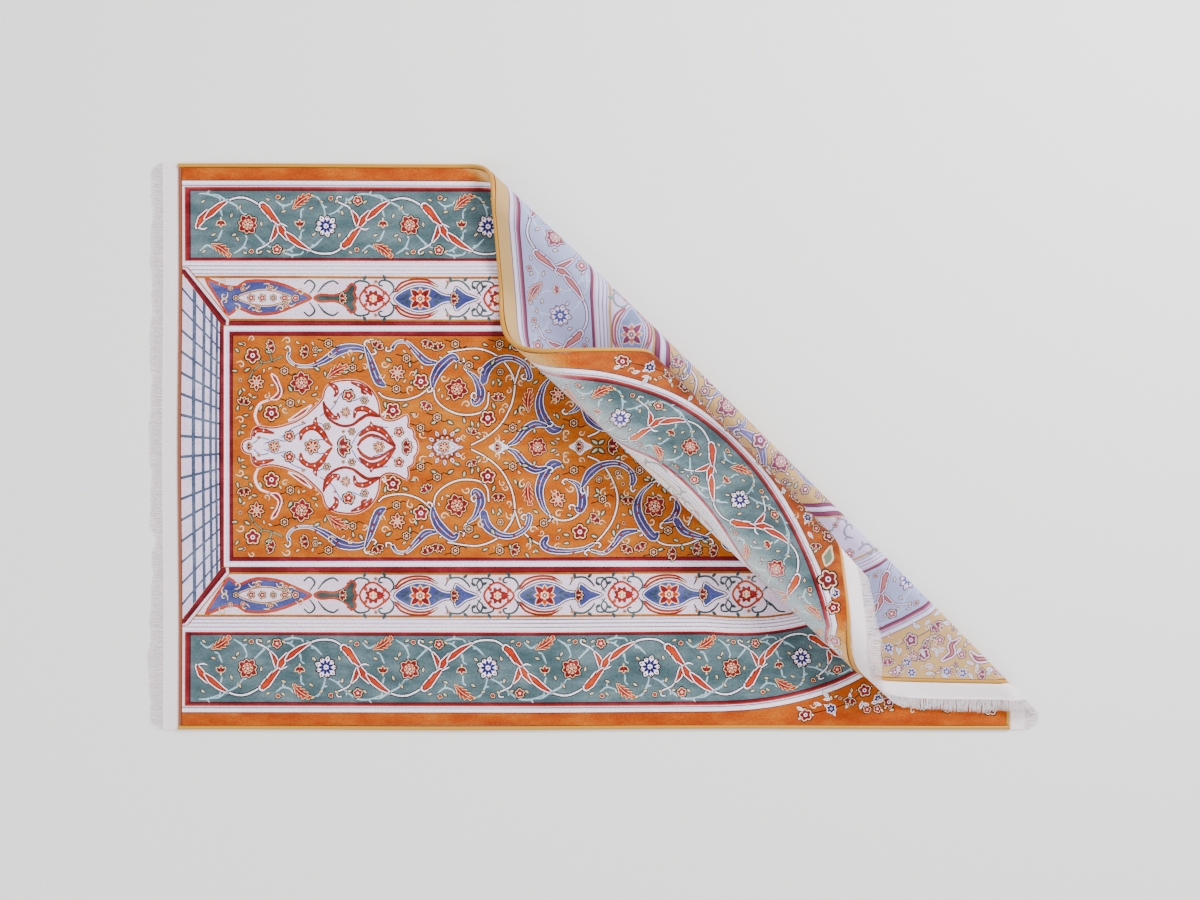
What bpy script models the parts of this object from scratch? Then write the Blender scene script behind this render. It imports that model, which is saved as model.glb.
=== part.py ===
"""A silk-pile prayer rug, lying pile up with its upper right corner folded back over it in a soft, rolled loop.

Metres, +Z up, +X along the rug's length from the foot end to the arch end, +Y across it. The carpet, the two
overcast edge cords, the two end bands and the two fringes are laid out flat first. place() then carries each of
their points round the folds. The origin is the middle of the footprint, on the floor.
"""

import math
import random
from collections import namedtuple

import bmesh
import bpy
import numpy as np
from mathutils import Vector

# The flat rug without its fringes, over the end bands and the side cords.
RUG_LENGTH = 1.200
RUG_WIDTH = 0.818
THICKNESS = 0.006
PIECE_GAP = 0.0003

# The yellow overcast cord along each long side, and the gold band across each end.
CORD_WIDTH = 0.0066
CORD_SIDES = 8
BAND_WIDTH = 0.0056
BAND_HEIGHT = 0.0050
BAND_SHAPE = ((-1.0, 0.0), (1.0, 0.0), (1.0, 0.62), (0.55, 1.0), (-0.55, 1.0), (-1.0, 0.62))

# The fringe: a white woven tape with loose locks of thread, on the back's level. A lock narrows and thins from
# its root, by shares of its length.
FRINGE_LENGTH = 0.0410
TAPE_WIDTH = 0.0230
TAPE_HEIGHT = 0.0016
LOCKS = 100
LOCK_SHARE = 0.52
LOCK_HEIGHT = 0.0013
LOCK_LENGTH = FRINGE_LENGTH - TAPE_WIDTH
LOCK_SHAPE = ((0.5, 0.86), (1.0, 0.55))
LOCK_WAVE = 0.0040
LOCK_UNEVEN = 0.0022
LOCK_LEAN = 0.0016
LENGTH_WAVES = 3.0

# How far the outline wanders from a straight edge, as cloth on a floor does.
WANDER = 0.0013
WANDER_WAVES = 2.6
WANDER_START = {"end": 0.6, "side": 2.2}

# The folds run down to the right at this slope. Along them, they are measured from upper end to lower end.
FOLD_SLOPE = math.radians(44.4)
UPPER_END = -0.258
LOWER_END = 0.814
LAYER_GAP = 0.0015
LAYER_STEP = THICKNESS + LAYER_GAP

# Each fold's outer edge and bend radius, at its upper end, its middle and its lower end. The first fold's edge
# is counted from the foot corner, and the others' edges from the first one's.
Fold = namedtuple("Fold", "name edge radius")
Ends = namedtuple("Ends", "upper middle lower")
FIRST = Fold("first_fold", Ends(0.8905, 0.8940, 0.8870), Ends(0.0240, 0.0155, 0.0080))
LOOP = Fold("big_loop", Ends(0.1650, 0.1540, 0.1430), Ends(0.0410, 0.0430, 0.0420))
TUCK = Fold("tucked_edge", Ends(0.0270, 0.0320, 0.0370), Ends(0.0200, 0.0240, 0.0290))

# The end fringe hangs from a raised layer that has turned face down, to this height over the pile below. It
# hangs freely from the second heading on. Its drop is at most this share of its length.
HANG_CLEARANCE = 0.0015
HANG_HEADINGS = (math.radians(100), math.radians(160))
STEEPEST_HANG = 0.8

# How far apart the cuts are that let a mesh bend: in a bend, on a straight stretch, and where it lies flat.
ARC_STEP = math.radians(8.5)
LONG_STEP = 0.024
FLAT_STEP = 0.12
CUT_SNAP = 0.00001
SHARP_EDGE = math.radians(40)

ALONG = np.array((math.cos(FOLD_SLOPE), -math.sin(FOLD_SLOPE)))
ACROSS = np.array((math.sin(FOLD_SLOPE), math.cos(FOLD_SLOPE)))

Roller = namedtuple("Roller", "x z radius turn")
Stretch = namedtuple("Stretch", "length x z heading turn radius")


def between(start, end, share):
    return start + (end - start) * share


def along_fold(ends, share):
    """The value at a share of the way along a fold, on a smooth curve through its three given values."""
    bow = ends.middle - (ends.upper + ends.lower) / 2
    return between(ends.upper, ends.lower, share) + 4 * bow * share * (1 - share)


def fold_start(share):
    """How far from the foot corner, across the folds, the sheet leaves the floor."""
    return along_fold(FIRST.edge, share) - THICKNESS / 2 - along_fold(FIRST.radius, share)


def rollers_at(share):
    """The bends of the section as rollers that the sheet runs round. x counts towards the folded corner."""
    first_r = along_fold(FIRST.radius, share)
    loop_r = along_fold(LOOP.radius, share)
    tuck_r = along_fold(TUCK.radius, share)
    half = THICKNESS / 2
    edge = first_r + half
    first = Roller(0.0, half + first_r, first_r, 1)
    loop_x = edge - along_fold(LOOP.edge, share) + half + loop_r
    loop = Roller(loop_x, half + LAYER_STEP + loop_r, loop_r, -1)
    # The tucked layer lies along the one below it, so its roller stands off the line that joins the first two.
    _, heading = tangent(first, loop)
    tuck_x = edge - along_fold(TUCK.edge, share) - half - tuck_r
    off = first_r + LAYER_STEP + tuck_r
    along = (tuck_x - first.x - off * math.sin(heading)) / math.cos(heading)
    tuck = Roller(tuck_x, first.z + along * math.sin(heading) - off * math.cos(heading), tuck_r, -1)
    return [first, loop, tuck, loop._replace(radius=loop_r - LAYER_STEP)]


def tangent(one, two):
    """The length and the heading of the straight stretch from one roller to the next."""
    dx, dz = two.x - one.x, two.z - one.z
    side = two.turn * two.radius - one.turn * one.radius
    length = math.sqrt(dx * dx + dz * dz - side * side)
    return length, math.atan2(dz, dx) - math.atan2(side, length)


def on_roller(roller, heading):
    """Where the sheet's middle is on a roller, when it runs at that heading."""
    reach = roller.turn * roller.radius
    return roller.x + reach * math.sin(heading), roller.z - reach * math.cos(heading)


def section_at(share):
    """The folded section as arcs and straight stretches, from where the first fold leaves the floor."""
    rollers = rollers_at(share)
    joins = [tangent(one, two) for one, two in zip(rollers, rollers[1:])]
    # The tucked corner rolls up inside the loop, until it runs along the layer over it.
    joins.append((0.0, joins[1][1] - 2 * math.pi))
    stretches = []
    heading = 0.0
    for roller, join in zip(rollers, joins):
        turned = (roller.turn * (join[1] - heading)) % (2 * math.pi)
        start = on_roller(roller, heading)
        stretches.append(Stretch(turned * roller.radius, *start, heading, roller.turn, roller.radius))
        heading += roller.turn * turned
        stretches.append(Stretch(join[0], *on_roller(roller, heading), heading, 0, 0.0))
    return stretches


def on_section(stretches, distance):
    """(x, z, heading) of the sheet's middle at a distance along the section."""
    for part in stretches:
        if distance <= part.length or part is stretches[-1]:
            break
        distance -= part.length
    if not part.turn:
        x = part.x + distance * math.cos(part.heading)
        z = part.z + distance * math.sin(part.heading)
        return x, z, part.heading
    heading = part.heading + part.turn * distance / part.radius
    roller = Roller(0.0, 0.0, part.radius, part.turn)
    x, z = on_roller(roller, heading)
    x0, z0 = on_roller(roller, part.heading)
    return part.x + x - x0, part.z + z - z0, heading


def folded(u, v):
    """A flat point's place on the sheet's middle, the unit vector to its pile side there, and the heading."""
    a, b = np.array((u, v)) @ ALONG, np.array((u, v)) @ ACROSS
    share = (a - UPPER_END) / (LOWER_END - UPPER_END)
    start = fold_start(share)
    if b <= start:
        return np.array((u, v, THICKNESS / 2)), np.array((0.0, 0.0, 1.0)), 0.0
    x, z, heading = on_section(section_at(share), b - start)
    middle = (*(a * ALONG + (start + x) * ACROSS), z)
    up = (*(-math.sin(heading) * ACROSS), math.cos(heading))
    return np.array(middle), np.array(up), heading


def within(share):
    return min(max(share, 0.0), 1.0)


def wander(share, edge):
    """How far an end or a side stands off its straight line, at a share of its length."""
    share = within(share)
    return WANDER * math.sin(WANDER_WAVES * math.pi * share + WANDER_START[edge]) * math.sin(math.pi * share)


def hanging(u, v):
    """(u, drop) of a point of the right fringe: it reaches less far where it hangs, and it comes lower."""
    over = u - RUG_LENGTH
    edge, _, heading = folded(RUG_LENGTH, v)
    start, end = HANG_HEADINGS
    face_down = within((heading - start) / (end - start))
    lowest = 1.5 * THICKNESS + HANG_CLEARANCE
    room = face_down * min(max(edge[2] - lowest, 0.0), STEEPEST_HANG * FRINGE_LENGTH)
    u = RUG_LENGTH + over * math.sqrt(1 - (room / FRINGE_LENGTH) ** 2)
    share = within(over / FRINGE_LENGTH)
    return u, face_down * share * share * (3 - 2 * share) * max(folded(u, v)[0][2] - lowest, 0.0)


def place(u, v, h):
    """Where a point of the flat rug goes: u along it, v across it, h above the sheet's middle."""
    drop = 0.0
    if u > RUG_LENGTH:
        u, drop = hanging(u, v)
    middle, up, _ = folded(u, v)
    point = middle + up * h
    point[0] += wander(v / RUG_WIDTH, "end")
    point[1] += wander(u / RUG_LENGTH, "side")
    point[2] -= drop
    return tuple(point)


# The places along the folds where the section is worked out for the cuts.
SHARES = np.linspace(-0.1, 1.1, 13)


def cut_distances():
    """How far from the foot corner each cut along the folds is, in a row for each share."""
    steps = [math.ceil(part.length / (part.radius * ARC_STEP if part.turn else LONG_STEP))
             for part in section_at(0.5)]
    rows = []
    for share in SHARES:
        at = fold_start(share)
        row = [at]
        for part, count in zip(section_at(share), steps):
            row += [at + part.length * (i + 1) / count for i in range(count)]
            at += part.length
        rows.append(row)
    return np.array(rows)


CUTS = cut_distances()


def on_flat(share, distance):
    return between(UPPER_END, LOWER_END, share) * ALONG + distance * ACROSS


def new_object(name, bm, colour, roughness):
    bmesh.ops.triangulate(bm, faces=bm.faces)
    bmesh.ops.recalc_face_normals(bm, faces=bm.faces)
    mesh = bpy.data.meshes.new(name)
    bm.to_mesh(mesh)
    bm.free()
    mesh.shade_smooth()
    mesh.set_sharp_from_angle(angle=SHARP_EDGE)
    material = bpy.data.materials.new(name)
    material.use_nodes = True
    shader = material.node_tree.nodes["Principled BSDF"]
    shader.inputs["Base Color"].default_value = (*colour, 1.0)
    shader.inputs["Roughness"].default_value = roughness
    shader.inputs["Metallic"].default_value = 0.0
    mesh.materials.append(material)
    made = bpy.data.objects.new(name, mesh)
    bpy.context.scene.collection.objects.link(made)
    return made


def cut_mesh(bm, point, direction, faces):
    """Cuts the flat faces along the line through the point."""
    geometry = list({part for f in faces for part in (f, *f.edges, *f.verts)})
    at, normal = Vector((*point, 0)), Vector((-direction[1], direction[0], 0))
    bmesh.ops.bisect_plane(bm, geom=geometry, dist=CUT_SNAP, plane_co=at, plane_no=normal)


def face_place(face):
    """(share along the folds, distance across them) of a flat face's middle."""
    middle = np.array(face.calc_center_median()[:2])
    return (middle @ ALONG - UPPER_END) / (LOWER_END - UPPER_END), middle @ ACROSS


def is_folded(face):
    """True for a flat face beyond the first cut, where the sheet bends."""
    share, distance = face_place(face)
    return distance > np.interp(share, SHARES, CUTS[:, 0])


def make_carpet():
    """The pile carpet: one sheet with its own thickness, cut where it bends and carried round the folds."""
    bm = bmesh.new()
    low_u, low_v = BAND_WIDTH + PIECE_GAP, CORD_WIDTH + PIECE_GAP
    high_u, high_v = RUG_LENGTH - low_u, RUG_WIDTH - low_v
    corners = [(low_u, low_v), (high_u, low_v), (high_u, high_v), (low_u, high_v)]
    bm.faces.new([bm.verts.new((u, v, 0)) for u, v in corners])
    cut_mesh(bm, on_flat(0, CUTS[0, 0]), ALONG, list(bm.faces))
    for share in SHARES[1:-1]:
        cut_mesh(bm, on_flat(share, 0), ACROSS, [f for f in bm.faces if face_place(f)[1] > CUTS[0, 0]])
    for k in range(len(SHARES) - 1):
        low, high = SHARES[k:k + 2]
        for start, end in zip(CUTS[k], CUTS[k + 1]):
            column = [f for f in bm.faces if low < face_place(f)[0] < high]
            line = on_flat(high, end) - on_flat(low, start)
            cut_mesh(bm, on_flat(low, start), line, [f for f in column if face_place(f)[1] > CUTS[0, 0]])
    for u in np.arange(FLAT_STEP, RUG_LENGTH, FLAT_STEP):
        cut_mesh(bm, (u, 0), (0, 1), [f for f in bm.faces if not is_folded(f)])
    for v in np.arange(FLAT_STEP, RUG_WIDTH, FLAT_STEP):
        cut_mesh(bm, (0, v), (1, 0), [f for f in bm.faces if not is_folded(f)])
    bmesh.ops.triangulate(bm, faces=bm.faces)
    bm.verts.index_update()
    rim = [[v.index for v in edge.verts] for edge in bm.edges if edge.is_boundary]
    faces = [[v.index for v in face.verts] for face in bm.faces]
    flat = [tuple(v.co[:2]) for v in bm.verts]
    bm.free()

    solid = bmesh.new()
    top = [solid.verts.new(place(u, v, THICKNESS / 2)) for u, v in flat]
    bottom = [solid.verts.new(place(u, v, -THICKNESS / 2)) for u, v in flat]
    for face in faces:
        solid.faces.new([top[i] for i in face])
        solid.faces.new([bottom[i] for i in reversed(face)])
    for i, j in rim:
        solid.faces.new([top[i], top[j], bottom[j], bottom[i]])
    return new_object("pile_carpet", solid, (0.72, 0.30, 0.05), 0.6)


def make_bar(name, stations, ring, colour):
    """A bar through the stations. ring(*station) gives the flat points (u, v, h) of its outline there."""
    bm = bmesh.new()
    rings = [[bm.verts.new(place(*point)) for point in ring(*station)] for station in stations]
    for one, two in zip(rings, rings[1:]):
        for i in range(len(one)):
            j = (i + 1) % len(one)
            bm.faces.new((one[i], one[j], two[j], two[i]))
    bm.faces.new(rings[0])
    bm.faces.new(reversed(rings[-1]))
    return new_object(name, bm, colour, 0.55)


def bend_stations(start, end):
    """Places along an edge of the flat rug, as (distance, skew): its ends, where the cuts cross it, and some
    before the folds. A bar's outline is square to the edge at skew 0, and lies along the cut at skew 1."""
    start, end = np.array(start), np.array(end)
    length = np.linalg.norm(end - start)
    way = (end - start) / length
    found = []
    for cut in CUTS.T:
        points = np.array([on_flat(share, distance) for share, distance in zip(SHARES, cut)]) - start
        sides = points[:, 0] * way[1] - points[:, 1] * way[0]
        k = int(np.argmax(sides[:-1] * sides[1:] <= 0))
        if sides[k] * sides[k + 1] <= 0:
            crossing = between(points[k], points[k + 1], sides[k] / (sides[k] - sides[k + 1])) @ way
            if CORD_WIDTH < crossing < length - CORD_WIDTH:
                found.append((crossing, 1.0))
    flat = found[0][0] if found else length
    before = np.linspace(0.0, flat, round(flat / FLAT_STEP) + 2)[:-1]
    return [(distance, 0.0) for distance in before] + found + [(length, 0.0)]


def cord_ring(middle_v):
    """The outline of an overcast cord: an even polygon with a flat side on the floor, as high as the carpet."""
    grow = 1 / math.cos(math.pi / CORD_SIDES)
    half, wide = THICKNESS / 2 * grow, CORD_WIDTH / 2 * grow
    angles = [2 * math.pi * (i + 0.5) / CORD_SIDES for i in range(CORD_SIDES)]
    shape = [(wide * math.cos(t), half * math.sin(t)) for t in angles]
    slant = 1 / math.tan(FOLD_SLOPE)
    return lambda u, skew: [(u - skew * slant * off, middle_v + off, h) for off, h in shape]


def band_ring(middle_u):
    """The outline of an end band: flat on the back, rounded towards the pile side."""
    low, half = -THICKNESS / 2, BAND_WIDTH / 2
    shape = [(half * across, low + BAND_HEIGHT * up) for across, up in BAND_SHAPE]
    slant = math.tan(FOLD_SLOPE)
    return lambda v, skew: [(middle_u + off, v - skew * slant * off, h) for off, h in shape]


def lock_stations():
    """Places along an end: each lock and each gap between two locks is one step."""
    pitch = RUG_WIDTH / (LOCKS + (1 - LOCK_SHARE))
    found = [0.0]
    for _ in range(LOCKS):
        found.append(found[-1] + pitch * (1 - LOCK_SHARE))
        found.append(found[-1] + pitch * LOCK_SHARE)
    return found + [RUG_WIDTH]


def make_fringe(name, root, sign):
    """A tape with locks of thread on its outer rim, as one body. It starts at root and grows towards sign."""
    chance = random.Random(name)
    stations = lock_stations()
    low = -THICKNESS / 2
    rim = root + sign * TAPE_WIDTH
    bm = bmesh.new()
    edges = []
    for v in stations:
        points = [(root, low), (rim, low), (rim, low + TAPE_HEIGHT), (root, low + TAPE_HEIGHT)]
        edges.append([bm.verts.new(place(u, v, h)) for u, h in points])
    for one, two in zip(edges, edges[1:]):
        for i, j in ((0, 1), (2, 3), (3, 0)):
            bm.faces.new((one[i], one[j], two[j], two[i]))
    bm.faces.new(edges[0])
    bm.faces.new(edges[-1])
    # Every second piece of the rim grows a lock, and the others close the tape.
    for number, (one, two) in enumerate(zip(edges, edges[1:])):
        if number % 2 == 0:
            bm.faces.new((one[1], one[2], two[2], two[1]))
            continue
        start, end = stations[number], stations[number + 1]
        wave = math.sin(LENGTH_WAVES * math.pi * start / RUG_WIDTH + sign)
        length = LOCK_LENGTH - LOCK_WAVE * (1 - wave) / 2 - LOCK_UNEVEN * chance.random()
        lean = LOCK_LEAN * chance.uniform(-1, 1)
        last = [one[1], two[1], two[2], one[2]]
        for share, narrow in LOCK_SHAPE:
            middle, half = (start + end) / 2 + lean * share, (end - start) / 2 * narrow
            sides = (middle - half, middle + half)
            high = low + LOCK_HEIGHT * between(1.0, narrow, share)
            corners = [(sides[0], low), (sides[1], low), (sides[1], high), (sides[0], high)]
            ring = [bm.verts.new(place(rim + sign * length * share, v, h)) for v, h in corners]
            for i in range(4):
                j = (i + 1) % 4
                bm.faces.new((last[i], last[j], ring[j], ring[i]))
            last = ring
        bm.faces.new(last)
    return new_object(name, bm, (0.90, 0.86, 0.86), 0.8)


def centre_on_footprint(objects):
    points = np.array([v.co for made in objects for v in made.data.vertices])
    low, high = points.min(0), points.max(0)
    for made in objects:
        made.location = (-(low[0] + high[0]) / 2, -(low[1] + high[1]) / 2, 0.0)


def main():
    for old in list(bpy.data.objects):
        bpy.data.objects.remove(old)
    yellow, gold = (0.86, 0.56, 0.02), (0.76, 0.38, 0.03)
    objects = [make_carpet()]
    for name, v in (("edge_cord_lower", CORD_WIDTH / 2), ("edge_cord_upper", RUG_WIDTH - CORD_WIDTH / 2)):
        objects.append(make_bar(name, bend_stations((0, v), (RUG_LENGTH, v)), cord_ring(v), yellow))
    low, high = CORD_WIDTH + PIECE_GAP, RUG_WIDTH - CORD_WIDTH - PIECE_GAP
    for name, u in (("end_band_left", BAND_WIDTH / 2), ("end_band_right", RUG_LENGTH - BAND_WIDTH / 2)):
        stations = [(low + distance, skew) for distance, skew in bend_stations((u, low), (u, high))]
        objects.append(make_bar(name, stations, band_ring(u), gold))
    objects.append(make_fringe("fringe_left", -PIECE_GAP, -1))
    objects.append(make_fringe("fringe_right", RUG_LENGTH + PIECE_GAP, 1))
    centre_on_footprint(objects)


main()
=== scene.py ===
# %% [markdown]
# # A silk-pile prayer rug with its corner folded over
# A rug of this kind is one woven sheet: a firm back, a short shiny pile, a wrapped cord along each side and
# a cotton fringe at each end. A picture could be painted on a grid, but then every line would be as coarse
# as the grid. Here the whole pattern is drawn flat, in millimetres, as shapes with sharp outlines. It is
# cut into triangles once, and then every triangle is carried round the folds of the real sheet.

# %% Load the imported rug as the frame
import math
import random

import bpy
import numpy as np
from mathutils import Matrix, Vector
from mathutils.geometry import delaunay_2d_cdt


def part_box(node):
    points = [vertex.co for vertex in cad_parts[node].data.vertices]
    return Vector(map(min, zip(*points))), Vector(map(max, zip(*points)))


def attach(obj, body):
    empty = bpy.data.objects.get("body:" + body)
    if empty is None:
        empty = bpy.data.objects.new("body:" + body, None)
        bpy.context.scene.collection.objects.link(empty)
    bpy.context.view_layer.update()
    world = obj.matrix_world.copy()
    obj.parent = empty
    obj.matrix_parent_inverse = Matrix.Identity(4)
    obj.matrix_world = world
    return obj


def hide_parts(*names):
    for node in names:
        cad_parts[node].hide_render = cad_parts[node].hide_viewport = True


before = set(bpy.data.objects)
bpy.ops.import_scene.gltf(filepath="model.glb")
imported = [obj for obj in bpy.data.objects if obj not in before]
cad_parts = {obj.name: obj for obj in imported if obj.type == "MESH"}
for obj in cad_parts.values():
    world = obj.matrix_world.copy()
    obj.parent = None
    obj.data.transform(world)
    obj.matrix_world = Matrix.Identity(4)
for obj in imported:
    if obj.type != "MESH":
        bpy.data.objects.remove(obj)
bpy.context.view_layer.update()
MM = 0.001
TINY = 1e-9

# %% [markdown]
# ## The sheet and its folds
# The sheet lies flat, rolls over at the first fold, comes back over itself in a big loop, and tucks its
# corner under. Cloth doesn't stretch, so the easiest true shape is a flat sheet wound round rollers: in the
# section across the folds it is only arcs and straight stretches. Edges and radii are given at three places
# along the folds, because the roll opens towards its upper end.

# %% Sizes of the rug and of its folds, in metres
RUG_LENGTH, RUG_WIDTH, THICKNESS = 1.200, 0.818, 0.006
CORD_WIDTH, BAND_WIDTH, PIECE_GAP = 0.0066, 0.0056, 0.0003
FOLD_SLOPE = math.radians(44.4)
UPPER_END, LOWER_END = -0.258, 0.814
LAYER_STEP = 0.0075
# Each fold's outer edge and its radius, at the upper end, the middle and the lower end.
FIRST = {"edge": (0.8905, 0.8940, 0.8870), "radius": (0.0240, 0.0155, 0.0080)}
LOOP = {"edge": (0.1650, 0.1540, 0.1430), "radius": (0.0410, 0.0430, 0.0420)}
TUCK = {"edge": (0.0270, 0.0320, 0.0370), "radius": (0.0200, 0.0240, 0.0290)}
ALONG = np.array((math.cos(FOLD_SLOPE), -math.sin(FOLD_SLOPE)))
ACROSS = np.array((math.sin(FOLD_SLOPE), math.cos(FOLD_SLOPE)))
# The flat rug's lower left corner stands here in the frame.
CORNER = np.array((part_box("edge_cord_lower")[0][0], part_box("fringe_left")[0][1]))
print("The flat corner stands at", CORNER.round(4))


# %% The section across the folds, as a sheet wound round rollers
def along_fold(ends, share):
    upper, middle, lower = ends
    return upper + (lower - upper) * share + 4 * (middle - (upper + lower) / 2) * share * (1 - share)


def tangent(one, two):
    """Length and heading of the straight stretch between two rollers (x, z, radius, turn)."""
    dx, dz = two[0] - one[0], two[1] - one[1]
    side = two[3] * two[2] - one[3] * one[2]
    length = np.sqrt(dx * dx + dz * dz - side * side)
    return length, np.arctan2(dz, dx) - np.arctan2(side, length)


def rollers_at(share):
    half = THICKNESS / 2
    r1, r2, r3 = (along_fold(fold["radius"], share) for fold in (FIRST, LOOP, TUCK))
    edge = r1 + half
    first = (0 * share, half + r1, r1, 1)
    loop_x = edge - along_fold(LOOP["edge"], share) + half + r2
    loop = (loop_x, half + LAYER_STEP + r2, r2, -1)
    _, heading = tangent(first, loop)
    tuck_x = edge - along_fold(TUCK["edge"], share) - half - r3
    off = r1 + LAYER_STEP + r3
    along = (tuck_x - off * np.sin(heading)) / np.cos(heading)
    tuck = (tuck_x, first[1] + along * np.sin(heading) - off * np.cos(heading), r3, -1)
    return [first, loop, tuck, (loop_x, loop[1], r2 - LAYER_STEP, -1)]


def section(share, last):
    """Where the first bend starts, the rollers, and the stretches after them."""
    rollers = rollers_at(share)
    joins = [tangent(one, two) for one, two in zip(rollers, rollers[1:])]
    joins.append((np.full_like(share, last), joins[1][1] - 2 * math.pi))
    start = along_fold(FIRST["edge"], share) - THICKNESS / 2 - along_fold(FIRST["radius"], share)
    return start, rollers, joins


# Past the last roller the sheet runs straight on, further than it is long.
ENDLESS = 9.0


def folded(u, v):
    """Flat points in metres become (place on the sheet's middle, direction to the pile side, heading)."""
    along, across = u * ALONG[0] + v * ALONG[1], u * ACROSS[0] + v * ACROSS[1]
    share = (along - UPPER_END) / (LOWER_END - UPPER_END)
    start, rollers, joins = section(share, ENDLESS)
    left = across - start
    x, z, turned_to = left.copy(), np.full_like(left, THICKNESS / 2), np.zeros_like(left)
    heading, waiting = np.zeros_like(left), left > 0
    for (rx, rz, radius, turn), (length, to) in zip(rollers, joins):
        angle = (turn * (to - heading)) % (2 * math.pi)
        here = waiting & (left <= angle * radius)
        now = heading + turn * left / radius
        x = np.where(here, rx + turn * radius * np.sin(now), x)
        z = np.where(here, rz - turn * radius * np.cos(now), z)
        turned_to = np.where(here, now, turned_to)
        waiting &= ~here
        left = left - angle * radius
        heading = heading + turn * angle
        here = waiting & (left <= length)
        x = np.where(here, rx + turn * radius * np.sin(heading) + left * np.cos(heading), x)
        z = np.where(here, rz - turn * radius * np.cos(heading) + left * np.sin(heading), z)
        turned_to = np.where(here, heading, turned_to)
        waiting &= ~here
        left = left - length
    reach = start + x
    place = np.stack([along * ALONG[0] + reach * ACROSS[0], along * ALONG[1] + reach * ACROSS[1], z], -1)
    up = np.stack([-np.sin(turned_to) * ACROSS[0], -np.sin(turned_to) * ACROSS[1], np.cos(turned_to)], -1)
    return place, up, turned_to


# %% [markdown]
# ## From flat to folded, for every thread
# The edges of a rug on a floor are never quite straight, so they wander by a millimetre. The fringe of the
# raised layer has no stiffness: where that layer has turned face down, the threads hang until they meet the
# pile.

# %% Carry flat points to their places
WANDER, WANDER_WAVES = 0.0013, 2.6
WANDER_START = {"end": 0.6, "side": 2.2}
FRINGE_LENGTH = 0.0410
HANG_CLEARANCE, STEEPEST_HANG = 0.0015, 0.8
HANG_HEADINGS = (math.radians(100), math.radians(160))


def wander(share, edge):
    share = np.clip(share, 0, 1)
    return WANDER * np.sin(WANDER_WAVES * math.pi * share + WANDER_START[edge]) * np.sin(math.pi * share)


def hanging(u, v):
    """(u, drop) of points of the right fringe."""
    over = u - RUG_LENGTH
    edge, _, heading = folded(np.full_like(v, RUG_LENGTH), v)
    face_down = np.clip((heading - HANG_HEADINGS[0]) / (HANG_HEADINGS[1] - HANG_HEADINGS[0]), 0, 1)
    lowest = 1.5 * THICKNESS + HANG_CLEARANCE
    room = face_down * np.clip(edge[:, 2] - lowest, 0, STEEPEST_HANG * FRINGE_LENGTH)
    u = RUG_LENGTH + over * np.sqrt(1 - (room / FRINGE_LENGTH) ** 2)
    share = np.clip(over / FRINGE_LENGTH, 0, 1)
    return u, face_down * share * share * (3 - 2 * share) * np.maximum(folded(u, v)[0][:, 2] - lowest, 0)


def place(points):
    """Places and normals of flat points (u, v, h) in metres. h counts from the sheet's middle."""
    u, v, h = np.array(points, float).T
    drop = np.zeros_like(u)
    beyond = u > RUG_LENGTH
    if beyond.any():
        u[beyond], drop[beyond] = hanging(u[beyond], v[beyond])
    middle, up, _ = folded(u, v)
    result = middle + up * h[:, None]
    result[:, 0] += wander(v / RUG_WIDTH, "end") + CORNER[0]
    result[:, 1] += wander(u / RUG_LENGTH, "side") + CORNER[1]
    result[:, 2] -= drop
    return result, up


# %% [markdown]
# ## Camera, floor and light
# The rug is seen from straight above, so the camera looks down from well over a table's height. A large soft
# light from the upper right models the roll and gives the nap its sheen, and a pale floor bounces light back.

# %% Camera and stage
IMAGE_WIDTH, IMAGE_HEIGHT = 1200, 900
VIEW_MIDDLE = (0.60865, 0.40385)
VIEW_WIDTH = 1.7308
CAMERA_HEIGHT = 2.4
SENSOR = 36.0


def add_light(name, size, power, at):
    light = bpy.data.lights.new(name, "AREA")
    light.shape = "DISK"
    light.size, light.energy = size, power
    lamp = bpy.data.objects.new(name, light)
    lamp.location = at
    lamp.rotation_euler = (-Vector(at)).to_track_quat("-Z", "Y").to_euler()
    bpy.context.scene.collection.objects.link(lamp)


camera_data = bpy.data.cameras.new("camera")
camera_data.sensor_width = SENSOR
camera_data.lens = SENSOR * (CAMERA_HEIGHT - THICKNESS) / VIEW_WIDTH
camera = bpy.data.objects.new("camera", camera_data)
camera.location = (VIEW_MIDDLE[0] + CORNER[0], VIEW_MIDDLE[1] + CORNER[1], CAMERA_HEIGHT)
bpy.context.scene.collection.objects.link(camera)
bpy.context.scene.camera = camera
print("Lens:", round(camera_data.lens, 1), "mm; image", IMAGE_WIDTH, "x", IMAGE_HEIGHT)

# Each lamp's width in metres, its power in watts and its place. Both aim at the middle of the rug.
for name, size, power, at in (("key", 1.0, 104, (1.5, 1.3, 1.9)), ("fill", 2.4, 43, (-1.9, -1.2, 2.4))):
    add_light(name, size, power, at)
world = bpy.data.worlds.new("studio")
world.use_nodes = True
world.node_tree.nodes["Background"].inputs["Color"].default_value = (1, 1, 1, 1)
world.node_tree.nodes["Background"].inputs["Strength"].default_value = 1.0
bpy.context.scene.world = world

# %% [markdown]
# ## Dyes
# Every colour of the rug is one dyed yarn, named once. The pile shows it full and shiny. On the back the
# knots are small and the cotton ground shows between them, so each dye has a second, paler value there.

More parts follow.
